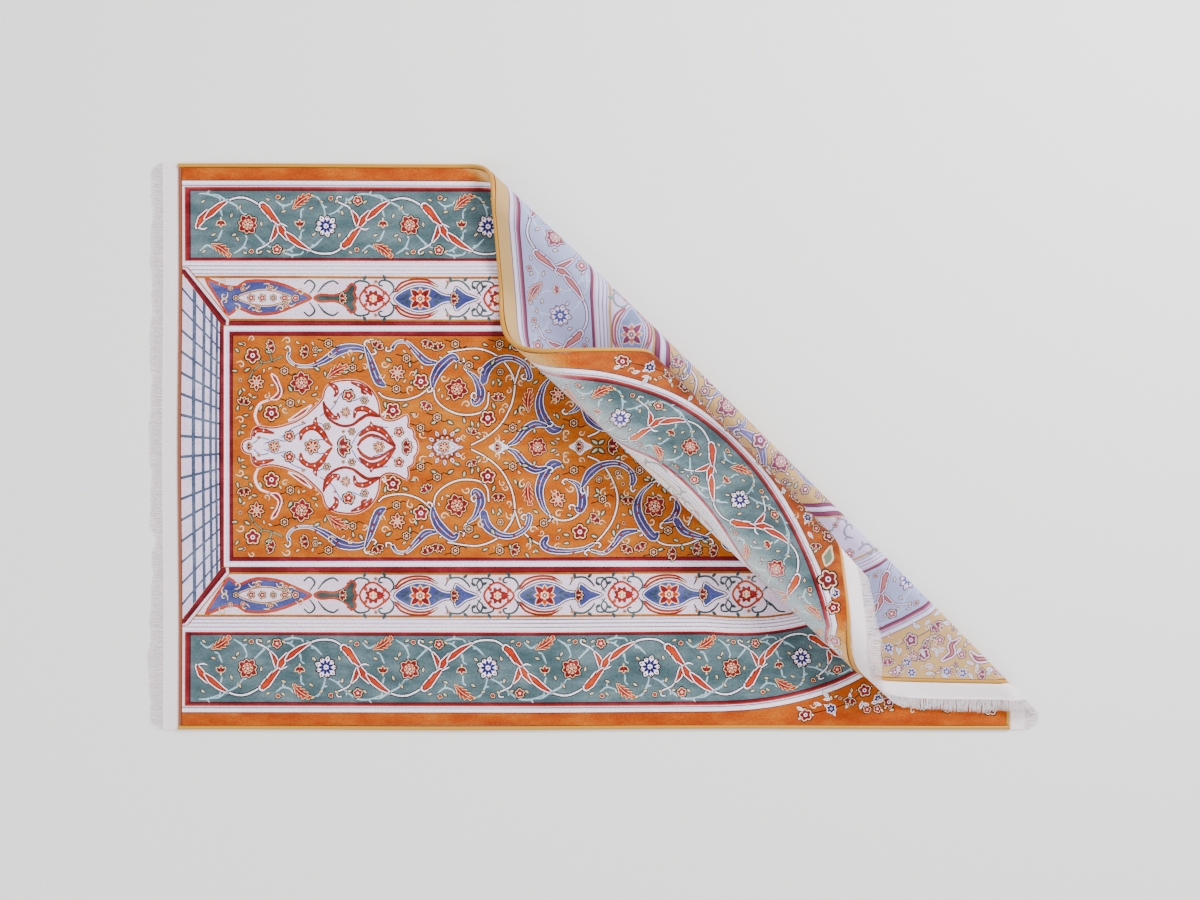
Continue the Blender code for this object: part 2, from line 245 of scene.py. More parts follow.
# %% Dyes as sRGB values: (pile, back)
DYES = {
    "ground orange": ("#B05A0C", "#C29A60"), "margin orange": ("#A84A08", "#C29A60"),
    "outline": ("#0C0408", "#4A3A5A"), "warp white": ("#FAF0FA", "#DCD2EA"), "lilac": ("#E4D0EA", "#C0B2DC"),
    "stripe line": ("#2E2034", "#5E4C78"), "red": ("#7A101A", "#782A52"),
    "bright red": ("#961A16", "#A0465F"),
    "maroon": ("#3A0C1E", "#4E183A"), "teal": ("#50656B", "#9EA2CC"), "gold": ("#9C5A14", "#B08C52"),
    "cartouche pale": ("#E4D0E4", "#C6B8DE"), "blue": ("#454A84", "#7080BE"), "navy": ("#221A62", "#3C3E88"),
    "violet": ("#453F74", "#6862A0"), "cream": ("#F0D2A8", "#E4CABA"), "sage": ("#7A8874", "#98A6A0"),
    "flame": ("#BC380C", "#B86A64"), "pale stem": ("#A4C0CC", "#B4BEE0"),
    "medallion white": ("#F2DCF6", "#D2C0EC"),
    "arabesque": ("#8E2816", "#8C4C56"), "lattice bar": ("#4C5C76", "#7480A0"),
    "lattice pale": ("#DCC8E6", "#C2B0D8"),
    "lattice line": ("#303446", "#565878"), "rosewood": ("#5C161C", "#783852"),
    "grey green": ("#3C4A4A", "#74808A"),
}
DYE_NAMES = list(DYES)


def linear(hex_colour):
    """An sRGB hex value as linear red, green and blue."""
    values = [int(hex_colour[i:i + 2], 16) / 255 for i in (1, 3, 5)]
    return [x / 12.92 if x <= 0.04045 else ((x + 0.055) / 1.055) ** 2.4 for x in values]


print(len(DYES), "dyes")

# %% [markdown]
# ## Drawing tools
# A weaver's chart is made of a few kinds of marks: strokes that swell and thin, rings of petals, leaves and
# closed shapes. Each is a list of points in millimetres. u counts from the foot end, and w from the rug's
# long middle line, because both halves are the same and each mark is drawn once and mirrored.

# %% Marks in millimetres
LENGTH, HALF_WIDTH = RUG_LENGTH / MM, RUG_WIDTH / 2 / MM
marks = []


def curve(points, steps=4, closed=False):
    """A smooth line through the points."""
    p = np.array(points, float)
    ends = [p[-1:], p, p[:2]] if closed else [2 * p[:1] - p[1:2], p, 2 * p[-1:] - p[-2:-1]]
    p = np.vstack(ends)
    found = []
    for a, b, c, d in zip(p, p[1:], p[2:], p[3:]):
        for k in range(steps):
            t = k / steps
            found.append(0.5 * (2 * b + (c - a) * t + (2 * a - 5 * b + 4 * c - d) * t ** 2
                                + (3 * b - a - 3 * c + d) * t ** 3))
    return np.array(found if closed else found + [p[-2]])


def sideways(line):
    way = np.gradient(line, axis=0)
    way /= np.maximum(np.linalg.norm(way, axis=1), TINY)[:, None]
    return np.stack([-way[:, 1], way[:, 0]], 1)


# Stroke ends with more than this half width are rounded off. Thinner ones are simply cut.
ROUNDED_FROM = 1.6


def stroke(line, widths, wider=0.0):
    """The outline of a brush stroke along a line. Its widths are spread evenly along it."""
    line = np.array(line, float)
    run = np.linspace(0, 1, len(line))
    half = (np.interp(run, np.linspace(0, 1, len(widths)), widths) + wider) / 2
    side = sideways(line) * half[:, None]
    caps = [[end + out * half[k] / max(math.hypot(*out), TINY)] if half[k] > ROUNDED_FROM
            else np.empty((0, 2))
            for k, end, out in ((-1, line[-1], line[-1] - line[-2]), (0, line[0], line[0] - line[1]))]
    return np.vstack([line + side, caps[0], (line - side)[::-1], caps[1]])


def area(points):
    x, y = np.array(points, float).T
    return float(np.sum(x * np.roll(y, -1) - np.roll(x, -1) * y)) / 2


def grown(points, by):
    """A closed shape, larger by a margin all round."""
    points = np.array(points, float)
    way = np.roll(points, -1, 0) - np.roll(points, 1, 0)
    way *= (by if area(points) > 0 else -by) / np.maximum(np.linalg.norm(way, axis=1), TINY)[:, None]
    return points + np.stack([way[:, 1], -way[:, 0]], 1)


def petals(count, inner, outer, points=6, turn=0.0):
    """A ring of round petals."""
    t = np.arange(count * points) / points
    reach = inner + (outer - inner) * np.abs(np.sin(np.pi * t)) ** 0.7
    angle = 2 * np.pi * t / count + turn
    return np.stack([reach * np.cos(angle), reach * np.sin(angle)], 1)


def dot(radius, points=8):
    return petals(1, radius, radius, points)


def leaf(length, width, start=0.0):
    """A pointed leaf along +x."""
    t = np.array((0, 0.12, 0.3, 0.5, 0.72, 0.9, 1.0))
    half = width / 2 * np.array((0, 0.62, 0.98, 1.0, 0.7, 0.28, 0))
    x = start + t * length
    return np.vstack([np.stack([x, half], 1), np.stack([x, -half], 1)[-2:0:-1]])


def moved(points, at=(0, 0), angle=0.0, size=1.0):
    """Points turned by an angle in degrees, sized and moved."""
    c, s = math.cos(math.radians(angle)), math.sin(math.radians(angle))
    return np.array(points, float) @ np.array(((c, s), (-s, c))) * size + np.array(at, float)


def mark(dye, points, mirror=True):
    """Adds a closed shape over those drawn before it, and its twin across the middle line."""
    points = np.array(points, float)
    if area(points) < 0:
        points = points[::-1]
    marks.append((DYE_NAMES.index(dye), points))
    if mirror:
        marks.append((DYE_NAMES.index(dye), (points * (1, -1))[::-1]))


def put(motif, at, angle=0.0, size=1.0, bend=None, mirror=True):
    for dye, points in motif:
        points = moved(points, at, angle, size)
        mark(dye, points if bend is None else bend(points), mirror)


def outlined(dye, points, margin=1.2, line="outline"):
    return [(line, grown(points, margin)), (dye, points)]


# %% [markdown]
# ## Motifs
# The flowers, buds and leaves of such rugs are stock forms that every workshop draws in its own hand. Each
# is a small stack of marks from the outline inwards, drawn around (0, 0) and pointing along +x.

# %% Flowers, buds and leaves
def around(count, points, radius, turn=0.0):
    """Copies of a mark in a ring."""
    turns = [turn + 360 * k / count for k in range(count)]
    return [moved(points, radius * np.array((math.cos(math.radians(a)), math.sin(math.radians(a)))), a)
            for a in turns]


def all_of(dye, shapes):
    return [(dye, shape) for shape in shapes]


def petal_ring(count, length, width, radius, inner, rim="cream", turn=0.0):
    """A ring of pointed petals with a pale rim and a dark outline."""
    shapes = around(count, leaf(length, width), radius, turn)
    shapes = [p if k % 2 else p * 0.9 for k, p in enumerate(shapes)]
    rims = [grown(p, 0.9) for p in shapes]
    return [*all_of("outline", [grown(p, 2.5) for p in shapes]), *all_of(rim, rims), *all_of(inner, shapes)]


BIG_FLOWER = [("outline", petals(5, 9.8, 13.3)), ("cream", petals(5, 7.9, 11.3)),
              *all_of("red", around(5, leaf(8.2, 7.4), 2.0, 36)), ("warp white", dot(3.4)),
              ("navy", dot(1.8, 6))]
SMALL_FLOWER = [("outline", petals(5, 6.8, 9.0, 5)), ("cream", petals(5, 5.2, 7.2, 5)),
                *all_of("bright red", around(5, leaf(5.6, 4.9), 1.2, 36)), ("warp white", dot(2.0, 6)),
                ("navy", dot(0.9, 5))]
ROSETTE = [("outline", petals(6, 5.8, 7.9, 4)), ("cream", petals(6, 4.2, 6.0, 4)),
           ("rosewood", petals(6, 3.4, 5.0, 4)),
           ("cream", dot(2.0, 6)), ("rosewood", dot(0.9, 5))]
STAR = [*petal_ring(7, 8.0, 4.4, 3.6, "bright red", "cream"), ("cream", petals(7, 3.6, 4.6, 3)),
        ("flame", dot(2.9)), ("warp white", dot(1.7, 6)), ("navy", dot(0.9, 5))]
BLUE_STAR = [*petal_ring(9, 8.2, 5.6, 7.4, "warp white", "warp white"),
             *all_of("bright red", around(9, leaf(4, 2.4), 11.2)),
             ("warp white", dot(9.4, 12)), *all_of("navy", around(9, leaf(9.4, 4.2), 2.6, 20)),
             ("warp white", petals(6, 2.6, 3.8, 3)), ("red", dot(1.5, 6))]
PALMETTE = [*petal_ring(8, 9.6, 8.4, 6.6, "red", "cream", 20), ("cream", dot(8.4, 12)),
            *all_of("flame", around(8, leaf(4.2, 3.2), 5.0, 42)), ("outline", petals(5, 5.4, 7.0, 4)),
            ("cream", petals(5, 4.4, 6.0, 4)), *all_of("bright red", around(5, leaf(4.4, 3.6), 1.4, 30)),
            ("warp white", dot(1.9, 6)), ("navy", dot(0.9, 5))]
LOTUS = [*[(dye, grown(moved(leaf(12, 6.0), (-4, 0), a), by)) for dye,
           by in (("outline", 2.3), ("cream", 0.7))
           for a in (-66, 66, -32, 32, 0)],
         *all_of("red", [moved(leaf(11.8, 5.4), (-4, 0), a) for a in (-66, 66)]),
         *all_of("rosewood", [moved(leaf(11.6, 5.4), (-4, 0), a) for a in (-32, 32)]),
         ("bright red", moved(leaf(12, 5.2), (-4, 0))), ("cream", moved(leaf(6, 2.2), (-2.4, 0))),
         ("sage", moved(dot(2.4, 6), (-4.4, 0)))]
SAGE_LEAF = [("outline", grown(leaf(12, 5.4), 1.5)), ("sage", leaf(12, 5.4)), ("cream", leaf(9.6, 2.2, 1.5))]
PALE_LEAF = [("outline", grown(leaf(9, 4.0), 1.4)), ("cream", leaf(9, 4.0)), ("sage", leaf(5, 1.6, 1.5))]
BELL = [*[(dye, grown(moved(leaf(9.4, 5.0), (-3, 0), a), by)) for dye,
          by in (("outline", 1.5), ("cream", 0.8))
          for a in (-48, 0, 48)],
        *all_of("rosewood", [moved(leaf(9.0, 4.4), (-3, 0), a) for a in (-48, 48)]),
        ("bright red", moved(leaf(9.4, 4.0), (-3, 0))), ("cream", moved(leaf(6, 2.6), (-8.6, 0)))]
BUD = [("outline", grown(leaf(6.6, 5.0), 2.0)), ("cream", grown(leaf(6.6, 5.0), 0.8)),
       ("red", leaf(6.6, 5.0)),
       ("flame", leaf(4, 2.2, 1.2))]
CURL_LINE = curve([(0, 0), (6, 3), (11, 1), (11, -4), (7, -5), (6, -2)], 3)
CURL = [("rosewood", stroke(CURL_LINE, (1.6, 3.2, 3.0, 2.8, 1.8))),
        ("cream", stroke(CURL_LINE, (0.8, 2.0, 1.9, 1.7, 0.9)))]
SPRIG = [("outline", stroke(curve([(-9, -2), (0, 1), (9, -1)], 3), (0.8, 0.8))),
         *[(dye, moved(points, spot, turn, 0.85)) for spot, turn in (((-5, 0), 55), ((2, 1), -60))
           for dye, points in PALE_LEAF[:2]],
         *[(dye, moved(points, (9, -1), -15, 0.85)) for dye, points in BUD]]


def feather(length=33.0, width=15.0, teeth=5):
    """A long serrated leaf that bends over, its teeth pointing to the tip."""
    x = np.linspace(0, length, 2 * teeth + 1)
    bend = -0.011 * (x - length / 2) ** 2
    swell = width / 2 * np.sin(np.pi * np.clip(x / length, 0.04, 0.97)) ** 0.7
    tip = np.arange(2 * teeth + 1) % 2
    saw, ahead = np.where(tip, 1.0, 0.42), np.where(tip, 2.6, 0.0)
    edge = np.vstack([np.stack([x + ahead, bend + swell * saw], 1),
                      np.stack([x + ahead, bend - swell * saw], 1)[-2:0:-1]])
    middle = np.stack([x[1:-1], bend[1:-1]], 1)
    return [("outline", grown(edge, 2.2)), ("cream", grown(edge, 1.0)), ("flame", edge),
            ("red", stroke(middle, (2.0, 6.4, 1.4))), ("cream", stroke(middle, (0.7, 1.0)))]


FEATHER = feather()
print("A palmette has", len(PALMETTE), "marks")

# %% [markdown]
# ## Ground, stripes and arch
# Narrow guard stripes divide the rug into a margin, a teal border, a pale border of cartouches and the
# field. At the head end the teal border and its stripes leave the sides and meet in the pointed arch that
# shows which way the rug lies. All the stripes are offsets of one line, the teal border's outer edge.

# %% The arch line, and shapes between two offsets of it
BAND_OUT = 368.5
STRAIGHT = [(u, BAND_OUT) for u in (0, 120, 240, 360, 480, 600, 700)]
BOW = [(760, 368.5), (800, 367.5), (840, 364), (880, 357), (920, 346), (960, 330.5), (995, 310),
       (1027, 283.5), (1056, 253), (1082, 220), (1104, 184), (1122, 147), (1137, 108), (1150, 69), (1161, 33),
       (1168, 0)]
OVERRUN = [(1176, -42)]
arch_line = curve(STRAIGHT + BOW + OVERRUN, 5)
arch_side = sideways(arch_line)
arch_run = np.concatenate([[0], np.cumsum(np.linalg.norm(np.diff(arch_line, axis=0), axis=1))])
NARROWING = (760.0, 1000.0, 0.83)


def offset_line(inward):
    """The arch line moved inward, as far as the middle line. The borders narrow a little round the arch."""
    start, end, share = NARROWING
    narrow = 1 - (1 - share) * np.clip((arch_run - start) / (end - start), 0, 1) if inward > 0 else 1.0
    line = arch_line - arch_side * np.atleast_1d(inward * narrow)[:, None]
    last = int(np.argmax(line[:, 1] < 0))
    one, two = line[last - 1], line[last]
    tip = one + (two - one) * one[1] / (one[1] - two[1])
    return np.vstack([line[:last], tip])


def inside(inward, left):
    """The whole region inside an offset of the arch line, closed at the left end."""
    line = offset_line(inward)
    line = np.vstack([[(left, line[0, 1])], line[line[:, 0] > left]])
    return np.vstack([line, (line[:-1] * (1, -1))[::-1]])


def ring(outer, inner, left=None):
    """The strip between two offsets, on one half of the rug."""
    a, b = offset_line(outer), offset_line(inner)
    if left is not None:
        a, b = (np.vstack([[(left, line[0, 1])], line[line[:, 0] > left]]) for line in (a, b))
    return np.vstack([a, b[::-1]])


def border(run, out):
    """Points of the teal border: run along it from the foot end, out from its middle line."""
    run, out = np.array(run, float), np.array(out, float)
    base = np.stack([np.interp(run, arch_run, arch_line[:, k]) for k in (0, 1)], -1)
    side = np.stack([np.interp(run, arch_run, arch_side[:, k]) for k in (0, 1)], -1)
    start, end, share = NARROWING
    narrow = 1 - (1 - share) * np.clip((run - start) / (end - start), 0, 1)
    return base - side * ((BORDER_HALF - out) * narrow)[..., None]


BORDER_HALF = 48.25
LEFT = BAND_WIDTH / MM + PIECE_GAP / MM
RIM = HALF_WIDTH - CORD_WIDTH / MM - PIECE_GAP / MM
RIGHT = LENGTH - LEFT
TEAL_LEFT = 17.9
carpet = [(LEFT, -RIM), (RIGHT, -RIM), (RIGHT, RIM), (LEFT, RIM)]
mark("margin orange", carpet, mirror=False)
mark("stripe line", inside(-16.0, LEFT), mirror=False)
mark("lilac", inside(-14.8, LEFT), mirror=False)
mark("warp white", ring(-14.2, -10.4))
mark("stripe line", ring(-8.4, -7.4))
for dye, inward, left in (("stripe line", -5.9, 9.4), ("flame", -5.1, 10.4), ("red", -4.2, 11.2),
                          ("maroon", -1.5, 16.0), ("teal", 0, TEAL_LEFT)):
    mark(dye, inside(inward, left), mirror=False)
print("The arch line is", round(arch_run[-1]), "mm long;", len(marks), "marks so far")

# %% [markdown]
# ## The teal border
# One white stem waves along the border. A split leaf falls from each crest and another climbs back, with red
# palmettes in one bay and blue rosettes in the next. Everything is drawn for one wave, and border() bends the
# copies round the arch.

# %% One wave of the teal border, along (run, out) in mm
first_motif = len(marks)
WAVE, FIRST_CREST = 233.6, 85.1
STEMS = [[(-12, 35), (0, 38.5), (12, 38), (24, 33), (37, 25)],
         [(102, -36), (113, -40.5), (126, -42), (140, -40), (154, -31)]]
THORNY = [[(-39, 43), (-27, 42), (-17, 35), (0, 26), (8, 15)], [(24, -13), (38, -27), (48, -33)],
          [(64, -37), (76, -36), (90, -22), (92, -10)], [(64, -40), (78, -44), (92, -43)],
          [(92, 9), (92, 20)], [(56, 34), (66, 27), (78, 30)], [(106, 39), (116, 39), (124, 26), (127, 14)],
          [(122, -20), (112, -30), (102, -35)],
          [(132, 14), (144, 20), (158, 33), (173, 43), (190, 44), (208, 38)],
          [(-5, -42), (8, -33), (14, -20)], [(180, -38), (190, -30), (200, -36)], [(212, 12), (208, 26)],
          [(212, -8), (206, -22)]]
SPLIT = (([(57, 1), (56, -8), (53, -16), (48, -24)], (2, 6, 5, 1)),
         ([(59, 2), (64, -9), (72, -22)], (3, 9, 1)),
         ([(36, 27), (42, 22), (50, 12), (60, 1)], (7, 10, 8, 3)),
         ([(70, -12), (78, -20), (90, -29), (105, -37)], (2, 8, 6, 1)),
         ([(174, -3), (172, 6), (170, 13), (165, 20)], (2, 6, 5, 1)),
         ([(175, -4), (182, 8), (190, 20)], (3, 9, 1)),
         ([(153, -30), (159, -26), (167, -15), (176, -5)], (7, 10, 8, 3)),
         ([(187, 8), (196, 17), (208, 27), (223, 36)], (2, 8, 6, 1)))
TAILS = [[(48, -24), (43, -29), (36, -33), (29, -36), (28, -41), (34, -42)],
         [(165, 20), (160, 26), (152, 30), (144, 34), (145, 40), (151, 40)]]
HOOKS = [[(61, 2), (68, -1), (72, -3)], [(42, 14), (46, 9), (50, 4)], [(177, -5), (184, -7), (190, -5)],
         [(159, -18), (163, -12), (167, -7)], [(33, 24), (32, 29), (37, 32), (43, 28)],
         [(150, -26), (149, -32), (154, -35), (160, -31)]]
FLOWERS_AT = ((56, 39), (133, 36), (174, 35), (57, -36), (175, -37), (23, -38))


def on_border(points):
    return border(points[:, 0], points[:, 1])


def one_wave(at, last):
    """Draws the wave that starts at a crest. Marks beyond the last run are left out."""
    def line(points, steps=4):
        points = curve(points, steps) + (at, 0)
        return points[(points[:, 0] > 26) & (points[:, 0] < last)]

    def draw(layers, points, widths):
        if len(points) > 3:
            for dye, wider in layers:
                mark(dye, on_border(stroke(points, widths, wider)))

    def motif(shapes, spot, angle=0.0, size=1.0):
        spot = np.array(spot, float) + (at, 0)
        if 30 < spot[0] < last:
            put(shapes, spot, angle, size, on_border)

    for points in THORNY:
        draw([("pale stem", 0)], line(points, 3), (1.4, 2.6, 2.6, 1.4))
        for k, (before, here) in enumerate(zip(points, points[1:])):
            way = math.degrees(math.atan2(here[1] - before[1], here[0] - before[0]))
            motif([("pale stem", leaf(6.5, 2.6))], here, way + (50 if k % 2 else -50))
    for points in STEMS:
        draw([("outline", 2.8), ("warp white", 0)], line(points), (2.2, 2.6, 2.2))
    for points in TAILS:
        draw([("outline", 2.2), ("warp white", 0)], line(points, 3), (1.8, 2.2, 2.0, 1.6))
    for points, widths in SPLIT:
        draw([("outline", 5.6), ("warp white", 3.4), ("red", 0.0), ("flame", -3.4)], line(points), widths)
    for points in HOOKS:
        draw([("outline", 2.0), ("warp white", 0)], line(points, 3), (2.0, 2.4, 1.2))
    motif(PALMETTE, (15, 0), 60, 0.92)
    motif(BLUE_STAR, (128, -2), 0, 1.0)
    motif(BELL, (90, 1), 90)
    motif(BELL, (210, 2), -90)
    motif(FEATHER, (78, 24), 38, 1.0)
    motif(FEATHER, (197, -26), -34, 1.0)
    for k, spot in enumerate(FLOWERS_AT):
        motif(SMALL_FLOWER if k in (2, 3) else BUD, spot, 37 * k + 10, 1.0)
        for side, turn in ((8, 40), (-9, 160)):
            motif(PALE_LEAF, np.array(spot) + (side, -4), turn, 0.75)
    for x, y, turn in ((70, 20, 200), (104, 22, 30), (112, 40, 150), (148, -12, 250), (196, -16, 20),
                       (232, -14, 200), (2, 22, 60), (34, 4, 280), (2, -24, 120), (108, -16, 40),
                       (152, 14, 100), (224, 10, 70)):
        motif(PALE_LEAF, (x, y), turn, 0.8)


end_of_border = float(np.interp(0, -border(arch_run, np.zeros_like(arch_run))[:, 1], arch_run)) - 6
for number in range(-1, 6):
    one_wave(FIRST_CREST + WAVE * number, end_of_border)
print("The border's middle line is", round(end_of_border), "mm long")

# %% [markdown]
# ## Guard stripes and the pale border
# Inside the teal border come a red line and a lilac stripe with three fine dark lines. They are drawn after
# the border's leaves, so they trim whatever reaches too far. At the foot end they stop at a diagonal, as a
# mitred picture frame does.

# %% Inner guard stripes, the pale ground and the mitre
for dye, inward, left in (("maroon", 96.2, TEAL_LEFT), ("red", 97.4, TEAL_LEFT), ("flame", 100.2, TEAL_LEFT),
                          ("lilac", 101.0, LEFT)):
    mark(dye, inside(inward, left), mirror=False)
for inward, high, dye in ((104.2, 2.6, "warp white"), (107.6, 0.8, "stripe line"), (109.6, 2.6, "warp white"),
                          (113.4, 0.8, "stripe line"), (115.6, 2.2, "warp white"),
                          (118.6, 0.7, "stripe line")):
    mark(dye, ring(inward, inward + high, LEFT))
mark("gold", inside(122.4, LEFT), mirror=False)
mark("cartouche pale", inside(126.0, LEFT), mirror=False)
FIELD_LEFT, FIELD_RIGHT = 79.8, 948.0


def box_at(left, right, half):
    return [(left, -half), (right, -half), (right, half), (left, half)]


for dye, left, right, half in (("gold", 62, 968, 184.4), ("maroon", 62, 966, 181.2), ("red", 62, 965, 179.8),
                               ("maroon", 62, 960.6, 175.2), ("lilac", 62, 959.6, 173.8),
                               ("warp white", 67, 957.6, 171.6), ("lilac", 69.5, 954.6, 168.6),
                               ("navy", 73.8, 953.4, 165.8), ("red", 74.6, 952.6, 165.0),
                               ("maroon", 78.4, 949.4, 161.0),
                               ("ground orange", FIELD_LEFT, FIELD_RIGHT, 159.6)):
    mark(dye, box_at(left, right, half), mirror=False)

# %% [markdown]
# ## The foot panel
# Across the foot a pale panel carries a grille of double bars. Its upright bars are closer together towards
# the field, and its cross bars run towards one far point, so the panel looks like a screen that leans away.

# %% The grille panel
PANEL_LEFT, PANEL_RIGHT = LEFT, 61.0
PANEL_HALF = {"left": 248.0, "right": 177.0}
UPRIGHTS = ((21.6, 25.2), (36.0, 38.8), (47.0, 49.4), (55.2, 57.2))
BAR_STEP, BAR_HALF, BAR_LINE = 30.3, 1.4, 0.7
CROSS_BARS = [BAR_STEP * (number + 0.5) for number in range(8)]


def panel_w(u, w):
    """Where a cross bar that starts at w on the left edge is at u."""
    left, right = PANEL_HALF["left"], PANEL_HALF["right"]
    return w * (left + (right - left) * (u - PANEL_LEFT) / (PANEL_RIGHT - PANEL_LEFT)) / left


def bar(left, right, low, high):
    return [(left, panel_w(left, low)), (right, panel_w(right, low)), (right, panel_w(right, high)),
            (left, panel_w(left, high))]


reach = PANEL_HALF["left"]
mark("lattice pale", bar(PANEL_LEFT, PANEL_RIGHT, -reach, reach), mirror=False)
for w in CROSS_BARS:
    for dye, half in (("lattice line", BAR_HALF + BAR_LINE), ("lattice bar", BAR_HALF)):
        mark(dye, bar(PANEL_LEFT, PANEL_RIGHT, w - half, w + half))
for left, right in UPRIGHTS:
    mark("lattice line", bar(left - BAR_LINE, right + BAR_LINE, -reach, reach), mirror=False)
    mark("lattice bar", bar(left, right, -reach, reach), mirror=False)
# The core of each cross bar runs over the uprights, so both look like one grid.
for w in CROSS_BARS:
    mark("lattice bar", bar(20.8, 57.1, w - 0.5, w + 0.5))
mark("red", box_at(60.2, 66.2, 177), mirror=False)
mark("maroon", box_at(60.2, 61.4, 177), mirror=False)
mark("warp white", box_at(66.2, 67.4, 172), mirror=False)
MITRE = [(LEFT, 252.5), (66, 178.4)]
for dye, width, shift in (("gold", 15.0, 2.6), ("cartouche pale", 11.6, 2.6), ("outline", 9.0, 0),
                          ("red", 6.6, 0), ("maroon", 1.4, 1.6)):
    mark(dye, stroke(np.array(MITRE) + (shift, 0.4 * shift), (width, width)))
print("Grille bars:", len(UPRIGHTS), "upright")

# %% [markdown]
# ## The pale border's cartouches
# Along the pale border, long blue cartouches and red medallions take turns between grey-green scrolls. The
# first cartouche is longer and fills the mitred corner.

# %% Cartouches and medallions
PALE_MIDDLE = 214.2
MEDALLIONS = [281 + 179.4 * k for k in range(4)]
BLUE_SHAPE = [(30, 0), (42, -11), (63, -19), (84, -16), (100, -7), (114, -6), (119, -17), (127, -13),
              (135, -7), (152, 0)]
RED_SHAPE = [(-19, 0), (-10, -14), (1, -18), (14, -10), (23, 0)]


def both(half_shape):
    """A shape whose second half mirrors the first across its own middle."""
    return np.array(half_shape + [(x, -y) for x, y in half_shape[-2:0:-1]], float)


def scroll(points):
    return ("grey green", stroke(curve(points, 3), (1.6, 3.0, 2.7, 2.2)))


SCROLLS = []
for side in (1, -1):
    for points in ([(-24, 4), (-30, 16), (-22, 25), (-8, 23), (-6, 17), (-12, 16)],
                   [(24, 4), (30, 14), (24, 24), (12, 26), (8, 20), (14, 18)],
                   [(28, 8), (38, 16), (46, 24), (56, 25)],
                   [(104, 14), (110, 24), (124, 26), (134, 20), (140, 12)],
                   [(150, 6), (158, 14), (154, 24), (144, 24), (143, 18)]):
        SCROLLS.append(scroll([(x, side * y) for x, y in points]))
    for x, y, turn in ((-31, 14, 150), (-14, 26, 60), (31, 13, 20), (18, 27, 120), (112, 24, 100),
                       (130, 25, 40), (157, 16, 20)):
        SCROLLS.append(("grey green", moved(leaf(9, 4.6), (x, side * y), side * turn)))
    for x, y in ((2, 24), (106, 24), (66, 26)):
        SCROLLS += [(dye, moved(points, (x, side * y), 0, 0.62)) for dye, points in BUD]
RED_OUTLINE, BLUE_OUTLINE = curve(both(RED_SHAPE), 3, True), curve(both(BLUE_SHAPE), 3, True)
RED_MEDALLION = [("rosewood", grown(RED_OUTLINE, 2.2)), ("flame", grown(RED_OUTLINE, 1.2)),
                 ("cartouche pale", grown(RED_OUTLINE, -1.0)),
                 *[(dye, moved(points, (x, y), a, 0.8))
                   for x, y, a in ((-9, 7, 130), (-9, -7, 230), (14, 6, 40), (14, -6, 320))
                   for dye, points in (("rosewood", grown(leaf(8, 4.6), 0.8)), ("flame", leaf(8, 4.6)))],
                 *all_of("rosewood", [grown(p, 0.9) for p in around(8, leaf(8.6, 4.8), 3.2, 22.5)]),
                 *all_of("bright red", around(8, leaf(8.6, 4.8), 3.2, 22.5)),
                 ("cream", petals(6, 4.4, 6.0, 4)), ("flame", moved(leaf(8, 4.6), (-4, 0))),
                 *all_of("bright red", [moved(leaf(9, 4), (9, 0), a) for a in (-34, 0, 34)]),
                 ("warp white", dot(2.0, 6))]
STALKS = [stroke(curve([(36, 0), (46, side * 6), (54, side * 11)], 3), (0.8, 1.6, 0.8)) for side in (1, -1)]
BLUE_CARTOUCHE = [*outlined("warp white", BLUE_OUTLINE, 1.5), ("blue", grown(BLUE_OUTLINE, -1.4)),
                  *all_of("grey green", STALKS)]
BLUE_CARTOUCHE += all_of("grey green", [moved(leaf(9, 4), (x, y), angle) for x, y, angle in
                                        ((40, 0, 0), (46, 2, 38), (46, -2, -38), (88, 2, 30), (88, -2, -30),
                                         (94, 0, 0))])
FLAME_PETALS = [p if k % 2 else p * 0.8 for k, p in enumerate(around(8, leaf(10.6, 5.6), 2.6))]
FLAME_FLOWER = [*all_of("cream", [grown(p, 0.9) for p in FLAME_PETALS]), *all_of("flame", FLAME_PETALS[::2]),
                *all_of("red", FLAME_PETALS[1::2]), ("cream", petals(6, 3.4, 4.8, 4)), ("red", dot(2.6)),
                ("warp white", dot(1.1, 6))]
for motif, spot, size in ((FLAME_FLOWER, (68, 0), 1.4), (LOTUS, (117, 0), 0.85)):
    BLUE_CARTOUCHE += [(dye, moved(points, spot, 0, size)) for dye, points in motif]
for side in (1, -1):
    HORN = curve([(33, side * 11), (42, side * 20), (58, side * 25.5), (78, side * 25), (92, side * 18)], 3)
    BLUE_CARTOUCHE += [(dye, stroke(HORN, (4, 7, 5.5, 5, 2), wider)) for dye, wider in
                       (("outline", 1.6), ("bright red", 0), ("cream", -4.4))]


def in_pale_border(motif, u):
    put(motif, (u, PALE_MIDDLE))


for number, u in enumerate(MEDALLIONS):
    in_pale_border(SCROLLS, u)
    in_pale_border(RED_MEDALLION, u)
    if number < 3:
        in_pale_border(BLUE_CARTOUCHE, u)

